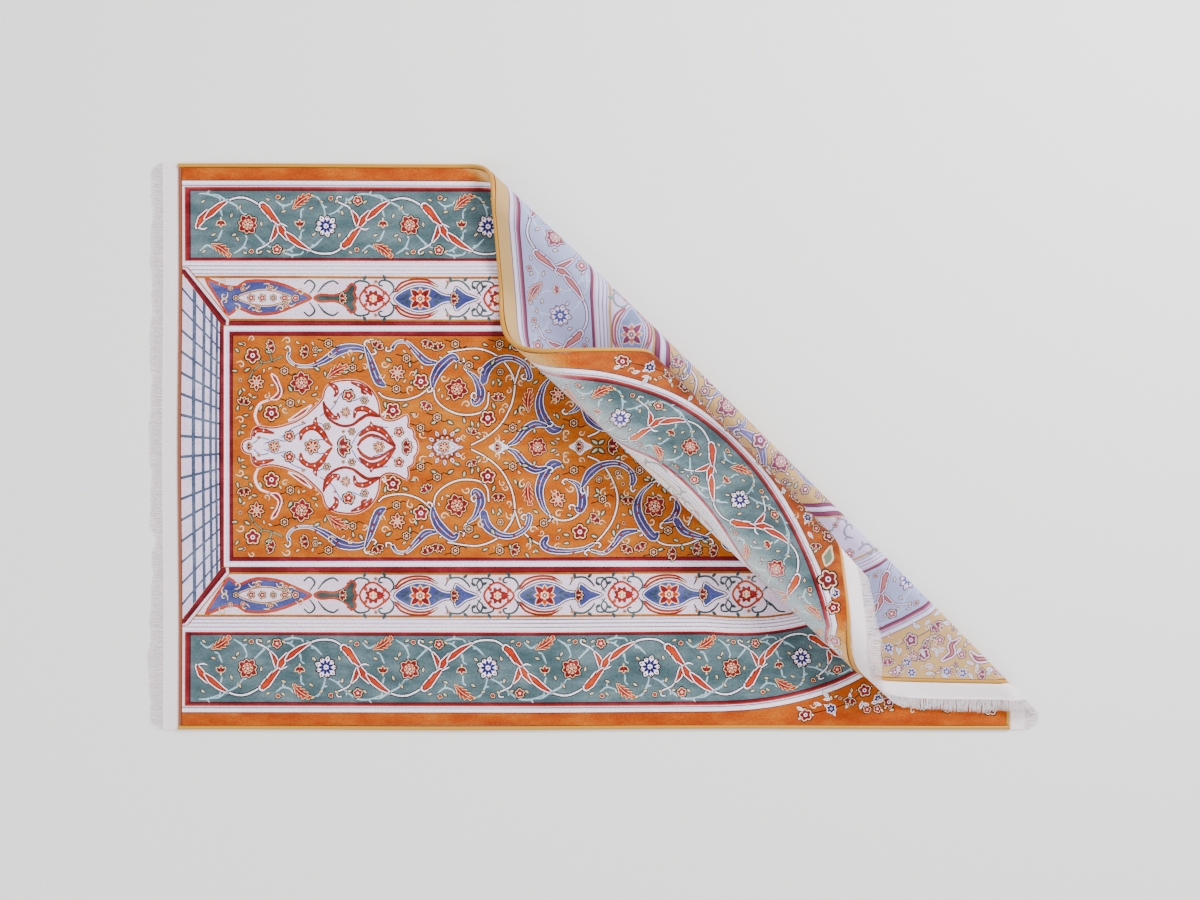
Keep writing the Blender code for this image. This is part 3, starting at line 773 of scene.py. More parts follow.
LONG = [(-88, 0), (-96, 6), (-110, 12), (-126, 19), (-154, 26), (-184, 25), (-196, 17), (-213, 18),
        (-228, 24), (-243, 28), (-232, 8), (-220, -10), (-208, -26), (-196, -16), (-184, -20), (-168, -25),
        (-140, -23), (-119, -15), (-98, -6)]
LONG_INSIDE = [(-196, 0), (-180, 8), (-156, 12), (-134, 8), (-116, 0)]
VASE = [(-86, 0), (-76, 6), (-56, 5), (-40, 12), (-32, 22), (-24, 16), (-27, 6), (-22, 0)]
first = []
for shape, dyes, margin in ((curve(LONG, 2, True), ("flame", "rosewood", "blue"), -3.0),
                            (curve(both(LONG_INSIDE), 3, True), ("gold", "cream", "cartouche pale"), -1.6),
                            (curve(both(VASE), 3, True), ("flame", "rosewood", "grey green"), -2.2)):
    dye, line, inner = dyes
    first += [*outlined(dye, shape, 0.8, line), (inner, grown(shape, margin))]
for x in (-198, -176, -160, -144, -128, -112):
    first += [(dye, moved(points, (x, 0), 0, 0.72)) for dye, points in (SMALL_FLOWER if x % 3 else ROSETTE)]
for x, y, turn in ((-222, 18, 60), (-210, 8, 240), (-200, -8, 320), (-178, 18, 200), (-158, 20, 340),
                   (-138, 16, 200), (-180, -16, 20), (-160, -19, 160), (-140, -17, 30), (-112, 9, 10),
                   (-112, -8, 190), (-216, -12, 90)):
    first += [(dye, moved(points, (x, y), turn, 0.9)) for dye, points in CURL]
for x, y in ((-188, 13), (-166, -14), (-148, 15), (-126, -11), (-206, 14)):
    first += [(dye, moved(points, (x, y), 15 * x, 0.55)) for dye, points in SMALL_FLOWER]
first += [(dye, moved(points, (-44, 0), 0, 0.8)) for dye, points in LOTUS]
in_pale_border(first, MEDALLIONS[0])
for side in (1, -1):
    for points in ([(-92, 6), (-84, 18), (-92, 26), (-100, 20)], [(-80, 8), (-70, 20), (-58, 25), (-50, 20)]):
        in_pale_border([scroll([(x, side * y) for x, y in points])], MEDALLIONS[0])
print("Medallions at", [round(u) for u in MEDALLIONS], "mm")

# %% [markdown]
# ## The field
# The orange field is filled by thin white stems that coil into spirals. Violet split leaves swell out of the
# stems, and flowers of several sizes sit in the coils and between them. A white medallion stands at the foot,
# and small ornaments follow the middle line.

# %% Stems and split leaves of the field, in mm
SPLIT_LEAVES = (
    (((161, 136), (159, 128), (169, 118), (190, 116), (211, 124), (235, 140), (260, 143), (277, 135)),
     (3, 2.5, 2.5, 3, 8, 12, 8, 3)),
    (((270, 145), (277, 128), (283, 110), (290, 95), (298, 89)), (2, 7, 10, 11, 5)),
    (((309, 142), (316, 151), (330, 151), (344, 137), (358, 124), (375, 122)), (4, 3, 3, 7, 9, 2)),
    (((368, 86), (370, 100), (379, 116), (396, 130), (404, 125)), (3, 10, 13, 10, 4)),
    (((417, 110), (429, 100), (437, 82), (436, 69), (429, 63), (425, 70)), (1, 6, 11, 10, 6, 3)),
    (((441, 94), (446, 113), (463, 126), (483, 128), (502, 117), (508, 101), (504, 98)),
     (9, 12, 8, 6, 6, 7, 4)),
    (((552, 25), (541, 26), (527, 44), (522, 64), (527, 85), (536, 98)), (6, 13, 12, 10, 6, 2)),
    (((564, 48), (576, 54), (583, 67), (584, 82), (580, 92), (574, 87)), (1, 5, 10, 12, 8, 3)),
    (((583, 59), (595, 39), (613, 27), (636, 25), (653, 35), (658, 48), (655, 57)), (3, 11, 8, 6, 5, 8, 4)),
    (((532, 131), (527, 140), (536, 148), (560, 151), (583, 148), (601, 140)), (6, 9, 8, 6, 4, 2)),
    (((595, 150), (613, 154), (627, 144), (642, 126), (663, 122)), (2, 3, 6, 9, 3)),
    (((686, 53), (670, 67), (663, 88), (669, 109), (685, 131), (692, 126)), (2, 5, 11, 12, 12, 5)),
    (((701, 110), (714, 104), (721, 91), (719, 79)), (2, 8, 9, 3)),
    (((719, 107), (729, 122), (745, 129), (766, 134)), (9, 10, 7, 3)),
    (((477, 3), (489, 9), (502, 25), (517, 33), (534, 30)), (2, 7, 9, 9, 3)),
)
FIELD_STEMS = (
    ((369, 88), (373, 69), (388, 55), (410, 47), (435, 49), (447, 60), (449, 79)),
    ((424, 3), (445, 14), (466, 32), (480, 56), (486, 79), (485, 98), (476, 116), (460, 132), (439, 141),
     (419, 142), (389, 137)),
    ((536, 98), (551, 106), (569, 104), (583, 92), (591, 73), (592, 57)),
    ((592, 14), (610, 23), (627, 47), (635, 76), (628, 106), (613, 128), (601, 140)),
    ((486, 91), (495, 117), (510, 134), (530, 145)),
    ((686, 53), (704, 46), (725, 53), (739, 70), (745, 91), (736, 115)),
    ((683, 131), (701, 142), (728, 143), (754, 134), (775, 122), (798, 126), (825, 138)),
    ((290, 79), (298, 72), (316, 68), (333, 69), (351, 76), (366, 89)),
)
SECOND_COILS = 262.0
# From the outline inwards, and how much wider each layer is than the leaf.
LEAF_LAYERS = (("outline", 4.6), ("warp white", 2.6), ("outline", 0.2), ("violet", -1.2))


def field_line(points, widths, layers):
    line = curve(points, 4)
    for dye, wider in layers:
        mark(dye, stroke(line, widths, wider))


def stem_and_leaves(shift=0.0, first=0):
    last = FIELD_RIGHT - 4 - shift
    for points in FIELD_STEMS:
        if min(u for u, _ in points) >= first and max(u for u, _ in points) < last:
            moved_on = [(u + shift, w) for u, w in points]
            field_line(moved_on, (2.0, 2.4, 2.0), (("outline", 2.6), ("warp white", 0)))
    for points, widths in SPLIT_LEAVES:
        if min(u for u, _ in points) >= first and max(u for u, _ in points) < last:
            moved_on = [(u + shift, w) for u, w in points]
            field_line(moved_on, widths, LEAF_LAYERS)
            line = curve(moved_on, 4)
            mark("lilac", stroke(line[2:-2], (0.5, 1.0, 0.5)))
            for tip, before, width in ((line[0], line[2], widths[0]), (line[-1], line[-3], widths[-1])):
                if width < 5:
                    way = (tip - before) / np.linalg.norm(tip - before)
                    side = np.array((-way[1], way[0])) * (1 if tip[0] > before[0] else -1)
                    hook = [tip, tip + 5 * way + side, tip + 7 * way + 6 * side, tip + 2 * way + 8 * side]
                    field_line(hook, (2.2, 2.2, 1.8), (("outline", 2.4), ("warp white", 0)))
            for k in (len(line) // 3, len(line) // 2, 2 * len(line) // 3):
                put([("outline", leaf(6.4, 3.6)), ("flame", leaf(4.6, 2.0, 0.8))], line[k], 60 * k)


stem_and_leaves()

# %% Flowers of the field
BIG_FLOWERS = ((136, 48), (311, 53), (108, 131), (351, 95), (448, 42), (580, 123))
ROSETTES = ((154, 109), (163, 63), (217, 149), (252, 114), (316, 84), (330, 128), (351, 28), (375, 43),
            (420, 118), (400, 149), (484, 28), (572, 34), (528, 110), (464, 149), (613, 76), (707, 122),
            (686, 153), (750, 152), (667, 35))
STARS = ((114, 92), (317, 107), (549, 76))
PALMETTES = ((179, 92, 30), (403, 84, 100), (688, 87, 80))
LOTUSES = ((359, 60, 240), (463, 72, 90), (288, 147, 60), (375, 145, 100), (183, 137, 170), (134, 145, 200),
           (96, 65, 80), (360, 149, 250), (602, 104, 140), (650, 78, 90), (647, 148, 120), (667, 145, 60),
           (486, 148, 20), (773, 151, 200), (713, 156, 180))
LEAVES = ((148, 75, 60), (122, 60, 250), (165, 79, 120), (96, 108, 30), (126, 138, 340), (205, 110, 150),
          (238, 106, 20), (262, 126, 60), (299, 66, 280), (333, 62, 200), (328, 36, 80), (366, 34, 20),
          (390, 38, 330), (408, 26, 200), (300, 128, 330), (345, 113, 250), (335, 92, 20), (452, 118, 60),
          (435, 128, 170), (458, 55, 110), (497, 26, 10), (496, 60, 250), (478, 140, 70), (510, 140, 250),
          (565, 128, 190), (596, 128, 20), (590, 112, 300), (616, 92, 120), (604, 60, 60), (628, 120, 80),
          (640, 70, 70), (655, 100, 250), (700, 60, 60), (672, 30, 10), (700, 148, 160), (738, 146, 30),
          (765, 140, 200), (640, 14, 150))
CURLS = ((128, 30, 200), (150, 152, 20), (200, 70, 300), (228, 132, 180), (272, 150, 20), (334, 76, 90),
         (306, 120, 200), (410, 60, 30), (392, 100, 200), (440, 104, 120), (474, 94, 60), (455, 144, 10),
         (500, 46, 120), (520, 120, 200), (560, 60, 20), (556, 92, 160), (600, 90, 60), (618, 60, 130),
         (640, 134, 30), (676, 110, 10), (700, 76, 200), (730, 100, 60), (112, 20, 0), (360, 14, 160),
         (84, 40, 0), (84, 120, 0), (560, 12, 90))


for points in ([(151, 130), (136, 123), (122, 120), (109, 109)], [(136, 123), (132, 134), (126, 140)],
               [(122, 120), (116, 128), (110, 131)], [(109, 109), (104, 98), (113, 92)]):
    field_line(points, (2.2, 1.6), (("outline", 1.4), ("sage", 0)))
for u, w in ROSETTES:
    stem = [(u - 16, w + 6), (u - 5, w + 3), (u, w), (u + 9, w - 6), (u + 17, w - 3)]
    field_line(stem, (1.5, 1.5), (("outline", 0),))
# A spot is (u, w) or (u, w, turn). Those without a turn of their own share one.
for motif, spots, shared_turn, size in ((SAGE_LEAF, LEAVES, 0, 0.85), (CURL, CURLS, 0, 0.95),
                                        (ROSETTE, ROSETTES, 0, 1.0), (BIG_FLOWER, BIG_FLOWERS, 18, 1.0),
                                        (STAR, STARS, 12, 1.0), (PALMETTE, PALMETTES, 0, 1.0),
                                        (LOTUS, LOTUSES, 0, 0.9),
                                        (FEATHER, ((214, 101, 30), (504, 50, 85)), 0, 1.05)):
    for u, w, *turn in spots:
        put(motif, (u, w), *(turn or [shared_turn]), size)

# %% [markdown]
# ## The hidden head of the field
# The folded corner hides the rest of the field, but its back shows along the diagonal fold, and the pieces
# are judged from every side. So the coils simply go on in the same rhythm as far as the end frame.

# %% Fill the rest of the field
stem_and_leaves(SECOND_COILS, 500)
for spots, motif, size, room in (([(u, w, 0) for u, w in ROSETTES if u > 520], ROSETTE, 1.0, 12),
                                 ((PALMETTES[2], (549, 76, 0)), PALMETTE, 1.0, 16),
                                 (LOTUSES[8:13], LOTUS, 0.9, 16),
                                 ([spot for spot in LEAVES if spot[0] > 560], SAGE_LEAF, 0.85, 16),
                                 ([spot for spot in CURLS if spot[0] > 600], CURL, 0.95, 16)):
    for u, w, turn in spots:
        if u + SECOND_COILS < FIELD_RIGHT - room:
            put(motif, (u + SECOND_COILS, w), turn, size)
for u, w in ((775, 100), (850, 123), (860, 30), (910, 100), (800, 60)):
    put(BIG_FLOWER, (u, w), 18)

# %% The white medallion and the ornaments of the middle line
MEDALLION = [(94, 0), (96, 6), (101, 9), (107, 10), (108, 14), (109, 21), (113, 26), (121, 28), (133, 26),
             (145, 27), (160, 31), (175, 37), (187, 45), (197, 54), (206, 63), (211, 71), (213, 80),
             (218, 88), (228, 93), (239, 95), (250, 95.5), (261, 94), (271, 89), (279, 82), (286, 72),
             (290, 60), (291, 50), (293, 43), (300, 38), (308, 37), (317, 39), (324, 42.5), (331, 46),
             (333, 38), (332, 29), (338, 26), (341, 20), (341, 14), (345, 9), (347, 0)]
edge = curve(MEDALLION, 2)
edge = np.vstack([edge, (edge[1:-1] * (1, -1))[::-1]])
for points, widths in (([(118, 30), (113, 40), (113, 50), (120, 62), (133, 67)], (2, 3, 3, 2)),
                       ([(134, 68), (143, 71), (148, 79), (145, 90), (140, 99), (135, 105)],
                        (2, 8, 6, 5, 7, 2)), ([(160, 37), (170, 42), (182, 50), (194, 60)], (2, 6, 7, 2)),
                       ([(292, 47), (298, 44), (299, 50)], (4, 5, 3))):
    field_line(points, widths, (("flame", 2.8), ("warp white", 0.8), ("arabesque", -2.8)))
for dye, by in (("flame", 3.4), ("cream", 2.4), ("arabesque", 1.6), ("medallion white", -0.6)):
    mark(dye, grown(edge, by), mirror=False)


def arabesque(points, widths):
    line = curve(points, 4)
    mark("rosewood", stroke(line, widths, 1.0))
    mark("arabesque", stroke(line, widths, -0.4))
    if max(widths) > 5:
        mark("flame", stroke(line[2:-2], [0.3 * width for width in widths]))
        for k in range(3, len(line) - 2, 4):
            put([("warp white", leaf(3.4, 2.0, -1.7))], line[k], 40 * k)


for points in (((126, 4), (142, 10), (158, 8), (176, 20), (200, 34), (214, 30)),
               ((206, 44), (224, 56), (236, 76), (252, 84)), ((236, 76), (250, 66), (268, 72)),
               ((252, 4), (262, 20), (280, 30), (304, 28)), ((150, 12), (166, 26), (186, 34)),
               ((196, 8), (210, 10), (222, 4)), ((282, 14), (298, 10), (312, 16)),
               ((110, 4), (120, 12), (132, 10))):
    field_line(points, (1.5, 1.5), (("blue", 0),))
ARABESQUES = ((((211, 64), (214, 47), (224, 36), (239, 30), (253, 32), (264, 40), (275, 46), (292, 44)),
               (3, 3, 3, 3, 3, 4, 4, 3)),
              (((212, 60), (218, 50), (226, 42), (233, 43), (231, 49)), (3, 7, 6, 4, 2)),
              (((255, 41), (258, 53), (270, 55), (281, 50), (291, 45)), (2, 6, 8, 6, 2)),
              (((219, 91), (227, 86), (230, 78), (226, 72)), (3, 7, 5, 2)),
              (((250, 93), (264, 88), (275, 81), (281, 74)), (2, 6, 6, 2)),
              (((266, 87), (267, 79), (273, 76)), (2, 4, 2)),
              (((178, 9), (180, 20), (190, 27), (201, 27), (210, 19), (217, 8), (224, 1)),
               (2, 7, 7, 9, 8, 5, 2)), (((201, 43), (199, 35), (204, 26)), (1, 6, 4)),
              (((263, 16), (278, 27), (294, 24), (305, 14), (315, 1)), (3, 9, 9, 6, 2)),
              (((260, 1), (267, 11), (279, 17), (293, 14), (304, 7), (315, 0)), (2, 4, 4, 3, 3, 2)),
              (((279, 37), (281, 30), (286, 25)), (1, 6, 4)),
              (((110, 14), (115, 23), (128, 22), (140, 19)), (2, 6, 6, 2)))
for points, widths in ARABESQUES:
    arabesque(points, widths)
for u, size, motif in ((104, 0.55, LOTUS), (140, 0.75, STAR), (195, 0.95, STAR), (240, 1.3, LOTUS),
                       (291, 0.72, STAR), (331, 1.0, LOTUS)):
    put(motif, (u, 0), 0, size, mirror=False)
for u, w, size, motif in ((162, 15, 1.0, SMALL_FLOWER), (116, 12, 0.6, BUD), (216, 29, 0.8, ROSETTE),
                          (252, 22, 0.8, ROSETTE), (247, 74, 1.15, SMALL_FLOWER), (270, 67, 0.85, ROSETTE),
                          (243, 50, 0.6, STAR), (320, 22, 0.9, SMALL_FLOWER), (238, 21, 0.6, BUD),
                          (226, 64, 0.5, BUD), (180, 34, 0.55, BUD)):
    put(motif, (u, w), 25, size)
LOZENGE = [(-13, 0), (-5, 5), (0, 10), (6, 5), (15, 0)]
for u, size in ((463, 1.0), (581, 1.2)):
    shape = moved(curve(both(LOZENGE), 3, True), (u, 0), 0, size)
    for dye, by in (("outline", 1.2), ("warp white", 0.6), ("lilac", -1.2)):
        mark(dye, grown(shape, by), mirror=False)
    put(LOTUS, (u - 1, 0), 0, 0.62 * size, mirror=False)
LILAC_CROWN = [*all_of("outline", [grown(p, 1.0) for p in around(12, leaf(9, 5.4), 18)]),
               *all_of("lilac", around(12, leaf(9, 5.4), 18)), *all_of("red", around(12, leaf(4.4, 2.2), 20)),
               ("rosewood", petals(12, 16.0, 18.6, 4)), ("gold", petals(12, 14.0, 16.4, 4)),
               *all_of("lilac", around(12, leaf(4.6, 2.6), 12.0, 15)),
               *outlined("lilac", moved(leaf(40, 21), (-17, 0)), 0.9, "violet"),
               *outlined("warp white", moved(leaf(28, 14), (-13, 0)), 0.8, "violet"),
               *[(dye, moved(points, (-1, 0), 0, 0.75)) for dye, points in STAR]]
put(LILAC_CROWN, (386, 0), 0, 1.0, mirror=False)
put(PALMETTE, (520, 0), 180, 0.85, mirror=False)
for turn in (35, 145):
    put(SAGE_LEAF, (607, 3), turn)
put(LOTUS, (628, 0), 0, 1.1, mirror=False)
for u in range(660, 940, 46):
    put((STAR, PALMETTE, LOTUS)[u // 46 % 3], (u, 0), 0, 0.9, mirror=False)
print(len(marks), "marks with the field")

# %% [markdown]
# ## The spandrels
# Outside the arch the orange margin widens into two corners. A garland of navy and red flowers follows the
# arch there, and a pale leaf with a large flower stands near its point.

# %% Garlands outside the arch
GARLAND = [(905, 388), (942, 379), (969, 368), (990, 352), (1016, 336), (1046, 318), (1072, 296), (1096, 262),
           (1120, 226), (1140, 190), (1152, 158), (1172, 156), (1181, 130)]
field_line(GARLAND[:11], (1.2, 1.2), (("outline", 0),))
NAVY_FLOWER = [("outline", petals(6, 7.4, 9.8, 5)), ("warp white", petals(6, 6.6, 9.0, 5)),
               *all_of("navy", around(6, leaf(6.4, 4.6), 1.6, 30)), ("cream", dot(2.2, 6)),
               ("red", dot(1.1, 5))]
WHITE_LEAF = [("outline", grown(leaf(15, 6.4), 0.8)), ("warp white", leaf(15, 6.4)),
              ("grey green", leaf(10, 1.6, 2))]
for k, (u, w) in enumerate(GARLAND):
    for turn in (60 * k, 60 * k + 150):
        put(WHITE_LEAF, (u, w), turn, 0.85)
    put((BIG_FLOWER, NAVY_FLOWER, LOTUS)[k % 3], (u, w), 50 * k, 0.85)
for u, w, turn in ((1040, 372, 10), (1090, 360, 200), (1130, 330, 120), (1160, 280, 60), (1150, 240, 300),
                   (1176, 210, 90)):
    put(WHITE_LEAF + CURL, (u, w), turn)
for u, w, kind in ((1062, 350, 0), (1100, 330, 1), (1128, 370, 0), (1160, 330, 1), (1172, 378, 0),
                   (1130, 290, 0)):
    put((BIG_FLOWER, NAVY_FLOWER)[kind], (u, w), 20, 0.9)
for points, widths in ((((1030, 344), (1050, 352), (1070, 340), (1092, 346), (1110, 362)), (3, 9, 12, 8, 2)),
                       (((1070, 340), (1076, 322), (1092, 312), (1104, 318)), (3, 8, 7, 2)),
                       (((1120, 300), (1130, 318), (1150, 322), (1168, 338), (1166, 360)), (3, 9, 12, 8, 2)),
                       (((1150, 322), (1164, 308), (1166, 288), (1156, 276)), (3, 9, 7, 2)),
                       (((1168, 236), (1158, 250), (1146, 248), (1138, 260)), (3, 8, 8, 2)),
                       (((1112, 366), (1128, 352), (1146, 358), (1160, 372)), (3, 8, 8, 2))):
    field_line(points, widths, (("outline", 5.0), ("warp white", 3.0), ("red", -1.2), ("flame", -5.0)))
BROAD_LEAF = [(0, 0), (8, 7), (17, 12), (24, 10), (36, 6), (44, 0), (34, -5), (22, -11), (10, -8)]
for dye, by in (("outline", 0.8), ("cream", 0), ("sage", -3.0)):
    mark(dye, grown(moved(curve(BROAD_LEAF, 2, True), (1170, 84), 68, 0.8), by))
put(BIG_FLOWER, (1172, 66), 0, 1.25)
put(NAVY_FLOWER, (1180, 46), 0, 0.8)
put(BIG_FLOWER, (1178, 26), 0, 0.8)
put(WHITE_LEAF, (1176, 44), 80, 0.8)
print(len(marks), "marks in all")

# %% [markdown]
# ## Sprigs in the gaps
# A workshop leaves no bare ground wider than a thumb. The chart's own flowers stay where they were put, and
# sprigs, rosettes and small leaves are thrown at random, with a fixed seed, where nothing has been drawn yet.

# %% Fill bare ground with small motifs
NEARBY = 25


def winds(spots, outline):
    """True for each spot that the outline goes round."""
    turns = np.zeros(len(spots), dtype=int)
    for (u0, w0), (u1, w1) in zip(outline, np.roll(outline, -1, 0)):
        if w0 != w1:
            crossed = (spots[:, 1] >= min(w0, w1)) & (spots[:, 1] < max(w0, w1))
            edge_u = u0 + (spots[:, 1] - w0) * (u1 - u0) / (w1 - w0)
            turns += np.where(crossed & (edge_u > spots[:, 0]), 1 if w1 > w0 else -1, 0)
    return turns != 0


def fill_gaps(corner, far_corner, kept_out, kinds, seed):
    """Fills a box. kinds are (room in mm, motifs, size, tries)."""
    chance = np.random.default_rng(seed)
    busy = np.vstack([points for _, points in marks[first_motif:]])
    near = (busy > np.array(corner) - NEARBY).all(1) & (busy < np.array(far_corner) + NEARBY).all(1)
    busy, total = busy[near], 0
    for room, motifs, size, tries in kinds:
        spots = chance.uniform(corner, far_corner, (tries, 2))
        for outline in kept_out:
            spots = spots[~winds(spots, outline)]
        for spot in spots:
            away = busy - spot
            if np.abs(away).max(1).min() > room * 0.8 and np.linalg.norm(away, axis=1).min() > room:
                put(motifs[int(chance.integers(len(motifs)))], spot, float(chance.uniform(0, 360)), size)
                busy = np.vstack([busy, marks[-1][1], marks[-2][1]])
                total += 1
    return total


sprigs = fill_gaps((86, 5), (941, 153), [grown(edge, 6)],
                   [(13.5, (SPRIG, SMALL_FLOWER, LOTUS), 0.8, 2500),
                    (8.0, (ROSETTE, SAGE_LEAF, BUD), 0.8, 3000),
                    (5.2, (PALE_LEAF, CURL, SAGE_LEAF), 0.75, 4000)], 5)
corners = fill_gaps((890, 6), (1188, 380), [inside(-21, LEFT)],
                    [(11, (NAVY_FLOWER, BIG_FLOWER, LOTUS), 0.8, 1200),
                     (7.5, (SPRIG, WHITE_LEAF, SMALL_FLOWER), 0.85, 2500),
                     (5, (WHITE_LEAF, CURL, PALE_LEAF), 0.8, 2500)], 6)
GREEN_SCROLL = [scroll([(-14, 0), (-8, 8), (0, 9), (6, 3), (3, -3), (-2, -1)]),
                scroll([(6, 3), (14, 4), (17, 10)]),
                ("grey green", moved(leaf(7, 3), (-9, 7), 120)),
                ("grey green", moved(leaf(7, 3), (8, 4), -40)),
                *[(dye, moved(points, (17, 10), 40, 0.9)) for dye, points in BUD]]
for u, w, turn in ((985, 22, 0), (990, 60, 90), (984, 100, 200), (988, 140, 40), (1020, 30, 160),
                   (1024, 84, 300), (1016, 126, 80), (1052, 16, 60), (1056, 58, 220), (985, 176, 130)):
    put(GREEN_SCROLL, (u, w), turn)
for u, w, motif in ((975, 0, PALMETTE), (1008, 54, STAR), (1010, 100, SMALL_FLOWER), (1040, 44, BIG_FLOWER),
                    (1072, 22, STAR), (974, 150, SMALL_FLOWER)):
    put(motif, (u + 8, w), 0, 0.8)
print(sprigs, "fillings in the field and", corners, "outside the arch")

# %% [markdown]
# ## Cut the drawing into triangles
# Overlapping marks would fight for the same surface. Blender's constrained Delaunay triangulation cuts all
# of them at once into triangles that meet edge to edge. The last mark drawn round a triangle gives it its
# dye. A second cut keeps only the edges where two dyes meet, and the lines along the folds, so that the
# sheet bends in small, even steps. The back lies on the floor for most of its length, so there it keeps
# only its larger marks.

# %% Fold lines as cuts
SHARES = np.linspace(-0.1, 1.1, 25)
BEND_STEP, STRAIGHT_STEP, FLAT_STEP = math.radians(7.5), 0.022, 45.0
LAST_STRETCH = 0.12


def fold_cuts():
    """Flat points (u, v) in mm of the lines along the folds, one row for each line."""
    at, rollers, joins = section(SHARES, LAST_STRETCH)
    rows, heading = [at], np.zeros_like(SHARES)
    for (_, _, radius, turn), (length, to) in zip(rollers, joins):
        angle = (turn * (to - heading)) % (2 * math.pi)
        heading = heading + turn * angle
        for part, steps in ((angle * radius, math.ceil(angle.max() / BEND_STEP)),
                            (length, math.ceil(length.max() / STRAIGHT_STEP))):
            rows += [at + part * (k + 1) / steps for k in range(steps)]
            at = at + part
    along = UPPER_END + (LOWER_END - UPPER_END) * SHARES
    return [(np.outer(along, ALONG) + np.outer(row, ACROSS)) / MM for row in rows]


def clipped(one, two, low, high):
    """The part of a line inside the carpet's rectangle, or None."""
    start, end = 0.0, 1.0
    for k in (0, 1):
        run = two[k] - one[k]
        if abs(run) < TINY:
            if not low[k] < one[k] < high[k]:
                return None
            continue
        a, b = sorted(((low[k] - one[k]) / run, (high[k] - one[k]) / run))
        start, end = max(start, a), min(end, b)
    return None if end - start < 1e-6 else (one + (two - one) * start, one + (two - one) * end)


low = np.array((LEFT, HALF_WIDTH - RIM))
high = np.array((RIGHT, HALF_WIDTH + RIM))
fold_points, fold_edges = [], []
for row in fold_cuts():
    for one, two in zip(row, row[1:]):
        part = clipped(one, two, low, high)
        if part:
            fold_edges.append((len(fold_points), len(fold_points) + 1))
            fold_points += [tuple(part[0]), tuple(part[1])]
for u in np.arange(FLAT_STEP, LENGTH, FLAT_STEP):
    fold_points += [(u, v) for v in np.arange(FLAT_STEP, 2 * HALF_WIDTH, FLAT_STEP)]
fold_points += [tuple(low), (high[0], low[1]), tuple(high), (low[0], high[1])]
print(len(fold_edges), "fold lines in the drawing")

# %% Triangles and their dyes
# Slacks are in mm: how far a simpler outline may lie from the drawn one. Marks are in square mm.
OUTLINE_SLACK, BACK_SLACK, SHORTEST_SIDE = 0.22, 0.32, 0.02
SMALLEST_MARK, BACK_MARK, COARSE_MARK, FOLD_MARGIN = 0.5, 3.0, 160.0, 0.03


def simpler(points, slack):
    """A closed shape without the points that its outline doesn't need."""
    for k in range(4):
        before, after = np.roll(points, 1, 0), np.roll(points, -1, 0)
        run, off = after - before, points - before
        length = np.maximum(np.linalg.norm(run, axis=1), TINY)
        away = np.abs(run[:, 0] * off[:, 1] - run[:, 1] * off[:, 0]) / length
        keep = (away > slack) | (np.arange(len(points)) % 2 == k % 2)
        if keep.sum() < 4:
            break
        points = points[keep]
    return points


def sides_of(triangles):
    """Each triangle's sides, as pairs of point numbers."""
    return np.concatenate([triangles[:, pair] for pair in ([0, 1], [1, 2], [2, 0])])


def triangulate(points, edges):
    cut = delaunay_2d_cdt([Vector(p) for p in points], edges, [], 0, 1e-4, False)
    return np.array([tuple(v) for v in cut[0]]), np.array(cut[2])


def dyed(flat, triangles, outlines):
    """The triangles from the lower side up, and the dye of each. A triangle lies in a mark where the mark's
    outline winds round it, so a stroke may cross itself."""
    middles = flat[triangles].mean(1)
    order = np.argsort(middles[:, 1])
    middle_u, middle_v = middles[order].T.copy()
    dyes = np.zeros(len(order), dtype=int)
    for dye, points in outlines:
        first_row, last_row = np.searchsorted(middle_v, (points[:, 1].min(), points[:, 1].max()))
        turns = np.zeros(last_row - first_row, dtype=int)
        for (u0, v0), (u1, v1) in zip(points, np.roll(points, -1, 0)):
            a, b = np.searchsorted(middle_v, (min(v0, v1), max(v0, v1)))
            if b > a:
                edge_u = u0 + (middle_v[a:b] - v0) * (u1 - u0) / (v1 - v0)
                way = 1 if v1 > v0 else -1
                turns[a - first_row:b - first_row] += np.where(edge_u > middle_u[a:b], way, 0)
        dyes[first_row:last_row][turns != 0] = dye
    return triangles[order], dyes


def cut_up(wanted, slack):
    """The flat points, triangles and dyes of the marks for which wanted(points) is true."""
    outlines, points, edges = [], [], []
    for dye, shape in marks:
        shape = np.clip(shape + (0, HALF_WIDTH), low, high)
        shape = simpler(shape[np.linalg.norm(shape - np.roll(shape, 1, 0), axis=1) > SHORTEST_SIDE], slack)
        if len(shape) > 2 and abs(area(shape)) > SMALLEST_MARK and wanted(shape):
            first, count = len(points), len(shape)
            edges += [(first + k, first + (k + 1) % count) for k in range(count)]
            points += [tuple(p) for p in shape]
            outlines.append((dye, shape))
    flat, triangles = triangulate(points, edges)
    triangles, dyes = dyed(flat, triangles, outlines)
    sides = np.sort(sides_of(triangles), axis=1)
    owner = np.tile(dyes, 3)
    order = np.lexsort((sides[:, 1], sides[:, 0]))
    sides, owner = sides[order], owner[order]
    meeting = sides[1:][(sides[1:] == sides[:-1]).all(1) & (owner[1:] != owner[:-1])]
    used, index = np.unique(meeting, return_inverse=True)
    index = index.reshape(-1, 2) + len(fold_points)
    flat, triangles = triangulate(fold_points + [tuple(p) for p in flat[used]],
                                  fold_edges + [(int(i), int(k)) for i, k in index])
    triangles, dyes = dyed(flat, triangles, outlines)
    print(len(outlines), "marks make", len(triangles), "triangles of one dye each")
    return flat, triangles, dyes


def shows_on_back(points):
    """Whether the back carries a mark. Past the first fold, or almost there, it carries small ones too."""
    beyond = (points * MM @ ACROSS).max() > min(FIRST["edge"]) - FOLD_MARGIN
    return abs(area(points)) > (BACK_MARK if beyond else COARSE_MARK)


pile_cut = cut_up(lambda points: True, OUTLINE_SLACK)
back_cut = cut_up(shows_on_back, BACK_SLACK)

